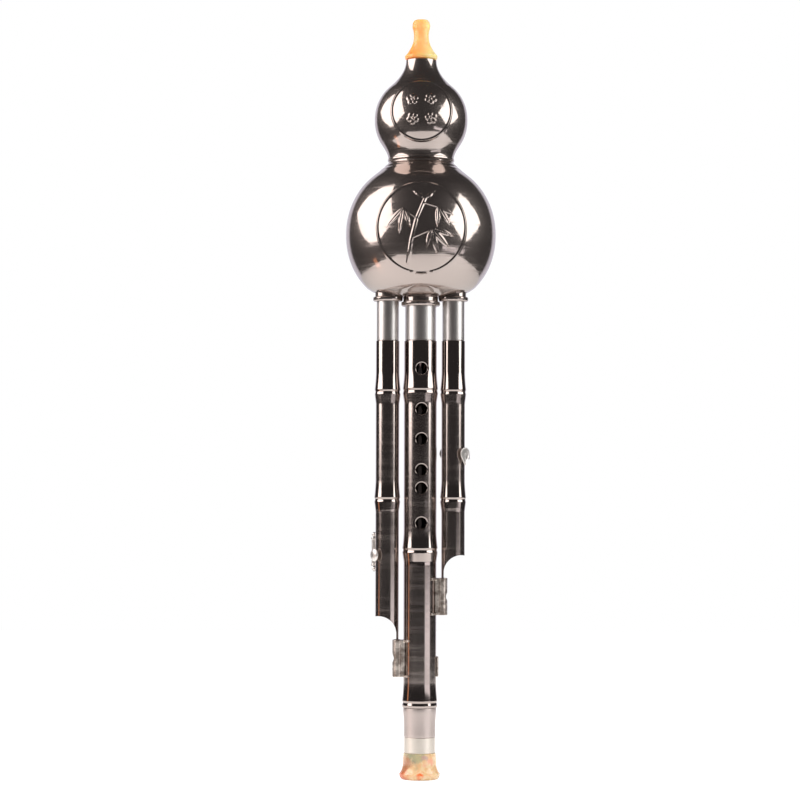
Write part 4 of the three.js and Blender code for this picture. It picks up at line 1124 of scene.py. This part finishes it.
# The touches' profiles from the middle out and round to the back: share of the rim, and height in mm
TOUCH_PROFILES = {
    "left": [(0.0, 1.7), (0.25, 1.66), (0.5, 1.5), (0.72, 1.25), (0.88, 0.92), (0.97, 0.6), (1.0, 0.35),
             (0.98, 0.1), (0.93, 0.0), (0.0, 0.0)],
    "right": [(0.0, 0.85), (0.4, 0.87), (0.65, 0.93), (0.8, 1.02), (0.9, 1.1), (0.96, 1.06), (1.0, 0.85),
              (0.99, 0.4), (0.94, 0.1), (0.85, 0.0), (0.0, 0.0)],
}
PAD_ROOM_RADIUS, PAD_BACK = 0.0036, 0.00922
CUP_WALL, CUP_RIM = 0.0006, 0.001
SPRING_SINK, SPRING_REACH, CATCH_DROP, CATCH_HEIGHT, CATCH_THICKNESS = 0.0009, 0.0028, 0.0032, 0.0015, 0.0012
POST_FOOT_RADIUS, POST_FOOT_HEIGHT, POST_NECK_RADIUS, POST_NECK_START = 0.0014, 0.0006, 0.0009, 0.0009
BALL_RADIUS, BALL_START, BALL_STEPS = 0.0014, -50, 8
LUG_HALF, LUG_OVER = 0.0008, 0.0006
KEY_GRAIN, DRILL_REACH = 0.00012, 0.02
BRIGHT_NICKEL = (0.86, 0.82, 0.78, 1)


def post_mesh():
    """A post with a foot, a thin neck and a ball, standing on +Z."""
    foot = DRONE_PIPE_RADIUS + SLIDE_GAP + RIB_THICKNESS / 2
    outline = [(0, foot), (POST_FOOT_RADIUS, foot), (POST_FOOT_RADIUS, foot + POST_FOOT_HEIGHT),
               (POST_NECK_RADIUS, foot + POST_NECK_START)]
    for step in range(BALL_STEPS):
        turn = BALL_START + (90 - BALL_START) * step / BALL_STEPS
        out, up = on_circle(BALL_RADIUS, math.radians(turn))
        outline.append((out, KEY_AXIS + up))
    return turned_mesh("post", outline + [(0, KEY_AXIS + BALL_RADIUS)], even_turns(28))


def rod_drill(across=0.0):
    return drum("rod_drill", ROD_RADIUS + SLIDE_GAP / 2, -DRILL_REACH, DRILL_REACH, 32, across)


def rib_piece(side):
    """The rib, its posts and the spring's lug, built at turn 0 and height 0."""
    seat = DRONE_PIPE_RADIUS + SLIDE_GAP
    half_arc = math.degrees(RIB_WIDTH / 2 / seat)
    half_length = POST_SPREAD + BALL_RADIUS
    across = sector(seat, seat + RIB_THICKNESS, -half_arc, half_arc)
    strip = prism("strip", across, -half_length, half_length)
    lug = slab("lug", (seat + RIB_THICKNESS / 2, 0, -POST_SPREAD - LUG_HALF),
               (KEY_AXIS - SPRING_SINK + LUG_OVER, SPRING_REACH, -POST_SPREAD + LUG_HALF))
    post = moved(linked(post_mesh()), Matrix.Rotation(math.pi / 2, 4, "Y"))
    posts = repeated("posts", [(0, 0, -POST_SPREAD), (0, 0, POST_SPREAD)], post, bright_nickel)
    rib = grown_together(side + "_rib", [strip, lug, posts.data], KEY_GRAIN)
    bpy.data.objects.remove(posts)
    return solid_with(rib, linked(rod_drill(KEY_AXIS)))


def hinge_outline():
    """The hinge tube, with a ring turned at each end."""
    ring = HINGE_RADIUS + HINGE_RING
    low = -HINGE_HALF
    lower = [(0, low), (ring, low), (ring, low + 3 * HINGE_RING), (HINGE_RADIUS, low + 4 * HINGE_RING)]
    return lower + [(radius, -height) for radius, height in lower[::-1]]


def between(first, last, steps):
    """The points on a straight line that part it into steps, without its ends."""
    (x, y), (far_x, far_y) = first, last
    return [(x + (far_x - x) * at / steps, y + (far_y - y) * at / steps) for at in range(1, steps)]


def touch_plate(side):
    """The touch as a plate on +Z: a round dome on the left key, and a dished teardrop on the right one.
    Its local -X is up once it is laid out from the drone's axis."""
    if side == "left":
        rim = [on_circle(TOUCH_RADIUS, turn) for turn in even_turns(72)]
    else:
        arc = [on_circle(TOUCH_RADIUS, math.radians(turn)) for turn in TEARDROP_ARC]
        rim = [(-TEARDROP_RISE - x, y) for x, y in arc]
        tip = (TEARDROP_TIP, 0.0)
        rim += between(rim[-1], tip, TEARDROP_STEPS) + [tip] + between(tip, rim[0], TEARDROP_STEPS)
    points, rings = [], []
    for share, lift in TOUCH_PROFILES[side]:
        start = len(points)
        if share == 0:
            points.append((0, 0, lift * MM))
            rings.append([start] * len(rim))
        else:
            points += [(share * x, share * y, lift * MM) for x, y in rim]
            rings.append(list(range(start, len(points))))
    return skinned("touch", points, rings[::-1])


def lever_piece(side):
    """The lever with its hinge tube, built round the drone's axis with the touch arm at its turn."""
    angle, touch = KEY_ANGLES[side], TOUCH_ANGLES[side]
    turn = math.radians(angle)
    x, y = on_circle(KEY_AXIS, turn)
    at_hinge = Matrix.Translation((x, y, 0))
    hinge = turned_mesh("hinge", hinge_outline(), even_turns(32))
    hinge.transform(at_hinge)
    half = LEVER_WIDTH / 2
    arc = sector(ARM_INNER, ARM_INNER + LEVER_THICKNESS, touch, angle)
    arm = prism("arm", arc, -LEVER_DROP - half, -LEVER_DROP + half)
    pad_x, pad_y = on_circle(PAD_BACK + CUP_WALL, math.radians(angle + PAD_ANGLE))
    to_pad = Vector((pad_x - x, pad_y - y))
    thick = LEVER_THICKNESS / 2
    pad_arm = slab("pad_arm", (0, -thick, -half), (to_pad.length, thick, half))
    pad_arm.transform(at_hinge @ Matrix.Rotation(math.atan2(to_pad.y, to_pad.x), 4, "Z"))
    rim = PAD_ROOM_RADIUS + CUP_WALL
    cup = turned_mesh("cup", [
        (0, PAD_BACK),
        (PAD_ROOM_RADIUS, PAD_BACK),
        (PAD_ROOM_RADIUS, PAD_BACK - CUP_RIM),
        (rim, PAD_BACK - CUP_RIM),
        (rim, PAD_BACK + CUP_WALL / 2),
        (rim / 2, PAD_BACK + 2 * CUP_WALL),
        (0, PAD_BACK + 2 * CUP_WALL),
    ], even_turns(48))
    cup.transform(radial(angle + PAD_ANGLE, 0))
    middle, thick, high = KEY_AXIS - SPRING_SINK, CATCH_THICKNESS / 2, CATCH_HEIGHT / 2
    catch = slab("catch", (middle - thick, 0, -CATCH_DROP - high),
                 (middle + thick, SPRING_REACH, -CATCH_DROP + high))
    catch.transform(Matrix.Rotation(turn, 4, "Z"))
    plate = touch_plate(side)
    plate.transform(radial(touch, -LEVER_DROP) @ Matrix.Translation((0, 0, ARM_INNER)))
    lever = grown_together(side + "_lever", [hinge, arm, pad_arm, cup, catch, plate], KEY_GRAIN)
    return solid_with(lever, moved(linked(rod_drill()), at_hinge))


bright_nickel = metal("bright_nickel", BRIGHT_NICKEL, 0.36, 0.42, (900.0, 500.0), 0.000002)
for side in ("left", "right"):
    place = side_place(side) @ Matrix.Translation((0, 0, KEY_LEVELS[side]))
    rib = moved(rib_piece(side), place @ Matrix.Rotation(math.radians(KEY_ANGLES[side]), 4, "Z"))
    lever = moved(lever_piece(side), place)
    for piece, body, stood_for in ((rib, "_drone", "_key_rib"), (lever, "_key", "_key_lever")):
        smooth_faces(piece, crease=60)
        fitted(piece, side + body, "bright_nickel", bright_nickel, side + stood_for)


# Lower joint of the main pipe: a turned stub that goes on with the bamboo, in a paler, rosy satin nickel.
# Its upper tenon fits the main pipe on a cork band, and the foot is pushed on its lower tenon.
JOINT_BASE, JOINT_TOP = 0.0239, 0.0407
JOINT_END_RADIUS, JOINT_BORE = 0.009, 0.0064
LOWER_TENON_RADIUS, LOWER_TENON_LENGTH = 0.0076, 0.014
JOINT_GROOVE_HEIGHT, JOINT_GROOVE_DEPTH = 0.0011, 0.000125
JOINT_CURVE, JOINT_BOW, JOINT_STEPS = 1.6, 0.00012, 12
RING_BASE, RING_TOP, FOOT_RING_RADIUS = 0.01495, 0.02385, 0.0089
BELL_HEIGHT = 0.0149
ROSE_NICKEL = (0.68, 0.59, 0.55, 1)


def joint_outline():
    tenon = MAIN_PIPE_BORE - SLIDE_GAP
    tenon_top = JOINT_TOP + LOWER_TENON_LENGTH
    cork_top = tenon_top - CORK_INSET
    bottom = BELL_HEIGHT - LOWER_TENON_LENGTH / 2
    start = JOINT_BASE + JOINT_GROOVE_HEIGHT
    rise = JOINT_TOP - 2 * JOINT_GROOVE_HEIGHT - start
    swell = []
    for step in range(JOINT_STEPS + 1):
        share = step / JOINT_STEPS
        radius = JOINT_END_RADIUS + (MAIN_PIPE_RADIUS - JOINT_END_RADIUS) * share ** JOINT_CURVE
        swell.append((radius - JOINT_BOW * math.sin(math.pi * share), start + rise * share))
    return [
        (JOINT_BORE, bottom),
        (LOWER_TENON_RADIUS, bottom),
        (LOWER_TENON_RADIUS, JOINT_BASE),
        (FOOT_RING_RADIUS - EDGE_BREAK, JOINT_BASE),
        (FOOT_RING_RADIUS, JOINT_BASE + EDGE_BREAK),
        *swell,
        (MAIN_PIPE_RADIUS, JOINT_TOP - JOINT_GROOVE_HEIGHT / 2),
        (MAIN_PIPE_RADIUS - JOINT_GROOVE_DEPTH, JOINT_TOP),
        (tenon, JOINT_TOP),
        *cork_groove(tenon, cork_top - CORK_WIDTH, cork_top),
        (tenon, tenon_top),
        (JOINT_BORE, tenon_top),
    ]


rose_nickel = metal("rose_nickel", ROSE_NICKEL, 0.44, 0.5, (1500.0, 40.0), 0.000001, 0.4)
lower_joint = turned_piece("lower_joint", joint_outline(), PIPE_FACETS, crease=30)
fitted(lower_joint, "foot", "rose_nickel", rose_nickel, "lower_joint")


# Foot: a pale satin ring above a flared bell of marbled plastic, both turned and polished.
# The bell is cream and amber, clouded with red-brown, pink and a little grey-green.
BELL_MOUTH, BELL_RIM, BELL_TOP_RADIUS = 0.0118, 0.0016, 0.00935
BELL_FLARE, BELL_BORE = 0.009, 0.009
PALE_NICKEL = (0.9, 0.83, 0.74, 1)
BELL_DARK, BELL_PALE = (0.87, 0.53, 0.27, 1), (0.94, 0.69, 0.41, 1)
# The stains in the plastic: middle, radius and colour. They stray from there by up to half of the drift.
STAIN_DRIFT = (0.007, 0.007, 0.012)
STAINS = [
    ((-0.0055, -0.0085, 0.0130), 0.0085, (0.42, 0.40, 0.26, 1)),
    ((0.0000, -0.0100, 0.0140), 0.0060, (0.55, 0.50, 0.30, 1)),
    ((-0.0085, -0.0060, 0.0080), 0.0070, (0.50, 0.23, 0.12, 1)),
    ((-0.0105, -0.0050, 0.0010), 0.0085, (0.70, 0.17, 0.06, 1)),
    ((0.0000, -0.0115, 0.0020), 0.0036, (0.95, 0.16, 0.02, 1)),
    ((0.0055, -0.0080, 0.0095), 0.0040, (0.93, 0.42, 0.28, 1)),
    ((0.0025, -0.0092, 0.0130), 0.0036, (0.60, 0.38, 0.32, 1)),
    ((0.0080, 0.0070, 0.0060), 0.0080, (0.55, 0.20, 0.08, 1)),
    ((-0.0040, 0.0100, 0.0110), 0.0070, (0.46, 0.42, 0.26, 1)),
]

pale_nickel = metal("pale_nickel", PALE_NICKEL, 0.44, 0.5, (1800.0, 40.0), 0.000001, 0.4)
ring_bore = LOWER_TENON_RADIUS + SLIDE_GAP
ring_inset = FOOT_RING_RADIUS - EDGE_BREAK
ring_outline = [(ring_bore, RING_BASE), (ring_inset, RING_BASE), (FOOT_RING_RADIUS, RING_BASE + EDGE_BREAK),
                (FOOT_RING_RADIUS, RING_TOP - EDGE_BREAK), (ring_inset, RING_TOP), (ring_bore, RING_TOP)]
foot_ring = turned_piece("foot_ring", ring_outline, PIPE_FACETS, crease=30)
fitted(foot_ring, "foot", "satin_nickel", pale_nickel, "foot_ring")


def bell_outline():
    waist = BELL_TOP_RADIUS + BELL_RIM / 4
    flare = curve((BELL_MOUTH, 2 * BELL_RIM), (BELL_MOUTH - BELL_RIM, 3 * BELL_RIM),
                  (waist, BELL_FLARE - BELL_RIM), (waist, BELL_FLARE + BELL_RIM / 2), 28)
    rim = curve((BELL_MOUTH - BELL_RIM, 0), (BELL_MOUTH - BELL_RIM / 3, BELL_RIM / 4),
                (BELL_MOUTH, BELL_RIM), (BELL_MOUTH, 2 * BELL_RIM), 14)
    floor = BELL_HEIGHT - LOWER_TENON_LENGTH / 2 - SLIDE_GAP
    top = [(BELL_TOP_RADIUS, BELL_HEIGHT - EDGE_BREAK), (BELL_TOP_RADIUS - EDGE_BREAK, BELL_HEIGHT),
           (ring_bore, BELL_HEIGHT), (ring_bore, floor), (JOINT_BORE, floor), (JOINT_BORE, 2 * BELL_RIM)]
    return [(BELL_BORE, 0)] + rim + flare[1:] + top


def plastic_shader(make, colour, roughness, depth_share, reach, more):
    """Plastic that light goes into: a share of it, and how far for red, green and blue."""
    inputs = {
        "Base Color": colour,
        "Roughness": roughness,
        "Subsurface Weight": depth_share,
        "Subsurface Radius": reach,
        "Subsurface Scale": 1.0,
    }
    return make("ShaderNodeBsdfPrincipled", {**inputs, **more}).outputs[0]


def marbled_plastic():
    finish, make = new_finish("marbled_plastic")
    place = own_place(make)
    swirl = tone_noise(make, place, 260.0, 4.0, 1.2)
    veins = tone_noise(make, place, 520.0, 3.0, 2.0)
    colour = colour_mix(make, ramp(make, swirl, 0.38, 0.64), BELL_DARK, BELL_PALE)
    drift = tone_noise(make, place, 190.0, result="Color")
    drift = vector_maths(make, "SUBTRACT", drift, (0.5, 0.5, 0.5))
    drift = vector_maths(make, "MULTIPLY", drift, STAIN_DRIFT)
    strayed = vector_maths(make, "ADD", place, drift)
    for middle, size, stain in STAINS:
        away = vector_maths(make, "DISTANCE", strayed, middle, "Value")
        inside = soft_ramp(make, away, size, size / 4)
        strength = maths(make, "MULTIPLY", inside, veins)
        colour = colour_mix(make, ramp(make, strength, 0.04, 0.5), colour, stain)
    coat = {"Coat Weight": 0.6, "Coat Roughness": 0.06}
    return surfaced(finish, make, plastic_shader(make, colour, 0.16, 0.25, (0.004, 0.002, 0.001), coat))


foot_bell = turned_piece("foot_bell", bell_outline(), PIPE_FACETS, crease=40)
fitted(foot_bell, "foot", "marbled_plastic", marbled_plastic(), "foot_bell")


# Mouthpiece: turned from amber plastic, with a lip, a hollow waist and a flange that sits on the neck.
# Its tenon goes into the neck on a cork band, and light shines through the thin edges. Its colour is painted
# shade on the left side and painted light on the right side, with a faint painted glow.
MOUTH_BASE, MOUTH_TOP = 0.4166, 0.4398
TIP_RADIUS, LIP_HEIGHT, LIP_ROUND = 0.0052, 0.0039, 0.0018
MOUTH_WAIST_RADIUS, MOUTH_WAIST_DROP = 0.00435, 0.0095
FLANGE_RADIUS, FLANGE_HEIGHT = 0.0095, 0.002
FLANGE_ROUND, FLANGE_SWELL, FLANGE_RISE = 0.0009, 0.0001, 0.0012
MOUTH_BORE, MOUTH_TENON, MOUTH_CORK = 0.0018, 0.0095, 0.005
# The amber's two tones: the left one, a deeper orange, is painted shade, and the right one, a paler yellow,
# is painted light from the right-hand lamp.
AMBER_SHADED_SIDE, AMBER_LIT_SIDE = (0.98, 0.35, 0.09, 1), (0.97, 0.66, 0.29, 1)


def mouthpiece_outline():
    lip_middle = MOUTH_TOP - LIP_HEIGHT
    waist = MOUTH_TOP - MOUTH_WAIST_DROP
    flange = MOUTH_BASE + FLANGE_HEIGHT
    skirt = curve((FLANGE_RADIUS, flange), (MOUTH_WAIST_RADIUS + LIP_ROUND, flange + LIP_HEIGHT),
                  (MOUTH_WAIST_RADIUS, waist - LIP_HEIGHT), (MOUTH_WAIST_RADIUS, waist), 32)
    lip = curve((MOUTH_WAIST_RADIUS, waist), (MOUTH_WAIST_RADIUS, waist + LIP_HEIGHT),
                (TIP_RADIUS, lip_middle - LIP_ROUND), (TIP_RADIUS, lip_middle), 20)
    crown = curve((TIP_RADIUS, lip_middle), (TIP_RADIUS, MOUTH_TOP), (TIP_RADIUS - LIP_ROUND, MOUTH_TOP),
                  (TIP_RADIUS - LIP_ROUND, MOUTH_TOP), 20)
    tenon = NECK_BORE - SLIDE_GAP
    tenon_end = MOUTH_BASE - MOUTH_TENON
    cork_end = tenon_end + SLIDE_GAP + OVERRUN
    below = [(MOUTH_BORE, tenon_end), (tenon, tenon_end),
             *cork_groove(tenon, cork_end, cork_end + MOUTH_CORK), (tenon, MOUTH_BASE)]
    edge = curve((FLANGE_RADIUS - FLANGE_ROUND, MOUTH_BASE), (FLANGE_RADIUS - FLANGE_SWELL, MOUTH_BASE),
                 (FLANGE_RADIUS + FLANGE_SWELL, MOUTH_BASE + FLANGE_RISE), (FLANGE_RADIUS, flange), 12)
    return below + edge + skirt[1:] + lip[1:] + crown[1:] + [(MOUTH_BORE, MOUTH_TOP - MOUTH_BORE / 2)]


def amber_plastic():
    finish, make = new_finish("amber_plastic")
    place = own_place(make)
    # The colour blends across the mouthpiece along X, from painted shade on the left to painted light on the
    # right, with random clouds of the plastic's own tone laid over it.
    across = along_axis(make, place, "X")
    cloud = ramp(make, tone_noise(make, place, 170.0, 3.0, 1.0), 0.3, 0.7, -0.15, 0.15)
    share = maths(make, "ADD", ramp(make, across, -0.006, 0.006), cloud, use_clamp=True)
    colour = colour_mix(make, share, AMBER_SHADED_SIDE, AMBER_LIT_SIDE)
    # A faint painted glow: the plastic gives off a little light in its own colour.
    glow = {"Emission Color": colour, "Emission Strength": 0.12}
    return surfaced(finish, make, plastic_shader(make, colour, 0.25, 0.9, (0.01, 0.005, 0.002), glow))


mouthpiece = turned_piece("mouthpiece", mouthpiece_outline(), COLLAR_FACETS, crease=45)
fitted(mouthpiece, "mouthpiece", "amber_plastic", amber_plastic(), "mouthpiece")


# Inner pieces, kept as the frame has them: cork bands, reed holders with brass reed plates in the gourd,
# and the felt pads, steel rods and needle springs of the keys. The corks show once a piece is drawn out.
CORK_GRAIN, STEEL_GRAIN = 0.0002, 0.000005
# For each ending of a name: the material, its two tones, how fine its grain is, its roughness, how metallic
# it is and how deep its grain is
INNER_PIECES = {
    "cork": ("cork", (0.3, 0.16, 0.07, 1), (0.62, 0.4, 0.22, 1), 900.0, 0.85, 0.0, CORK_GRAIN),
    "reed_holder": ("cream_plastic", (0.72, 0.66, 0.54, 1), (0.8, 0.75, 0.64, 1), 300.0, 0.45),
    "reed_plate": ("reed_brass", (0.62, 0.42, 0.14, 1), (0.78, 0.56, 0.24, 1), 700.0, 0.3, 1.0),
    "key_pad": ("pad_felt", (0.7, 0.66, 0.55, 1), (0.86, 0.83, 0.74, 1), 2500.0, 0.95),
    "pivot_rod": ("rod_steel", (0.3, 0.3, 0.32, 1), (0.45, 0.45, 0.48, 1), 1500.0, 0.25, 1.0, STEEL_GRAIN),
    "key_spring": ("spring_steel", (0.16, 0.18, 0.26, 1), (0.28, 0.3, 0.4, 1), 1500.0, 0.28, 1.0,
                   STEEL_GRAIN),
}


def grained(name, dark, pale, scale, roughness, metallic=0.0, bump_depth=0.00005):
    """A material that mixes two tones by fine noise."""
    finish, make = new_finish(name)
    grain = tone_noise(make, own_place(make), scale, 5.0)
    bump = make("ShaderNodeBump", {"Height": grain, "Strength": 0.5, "Distance": bump_depth})
    shader = make("ShaderNodeBsdfPrincipled", {
        "Base Color": colour_mix(make, ramp(make, grain, 0.4, 0.6), dark, pale),
        "Metallic": metallic,
        "Roughness": roughness,
        "Normal": bump.outputs[0],
    })
    return surfaced(finish, make, shader.outputs[0])


inner_finishes = {ending: grained(*settings) for ending, settings in INNER_PIECES.items()}
for name, node in nodes.items():
    for ending, finish in inner_finishes.items():
        if name.endswith(ending):
            node.data.materials.clear()
            node.data.materials.append(finish)
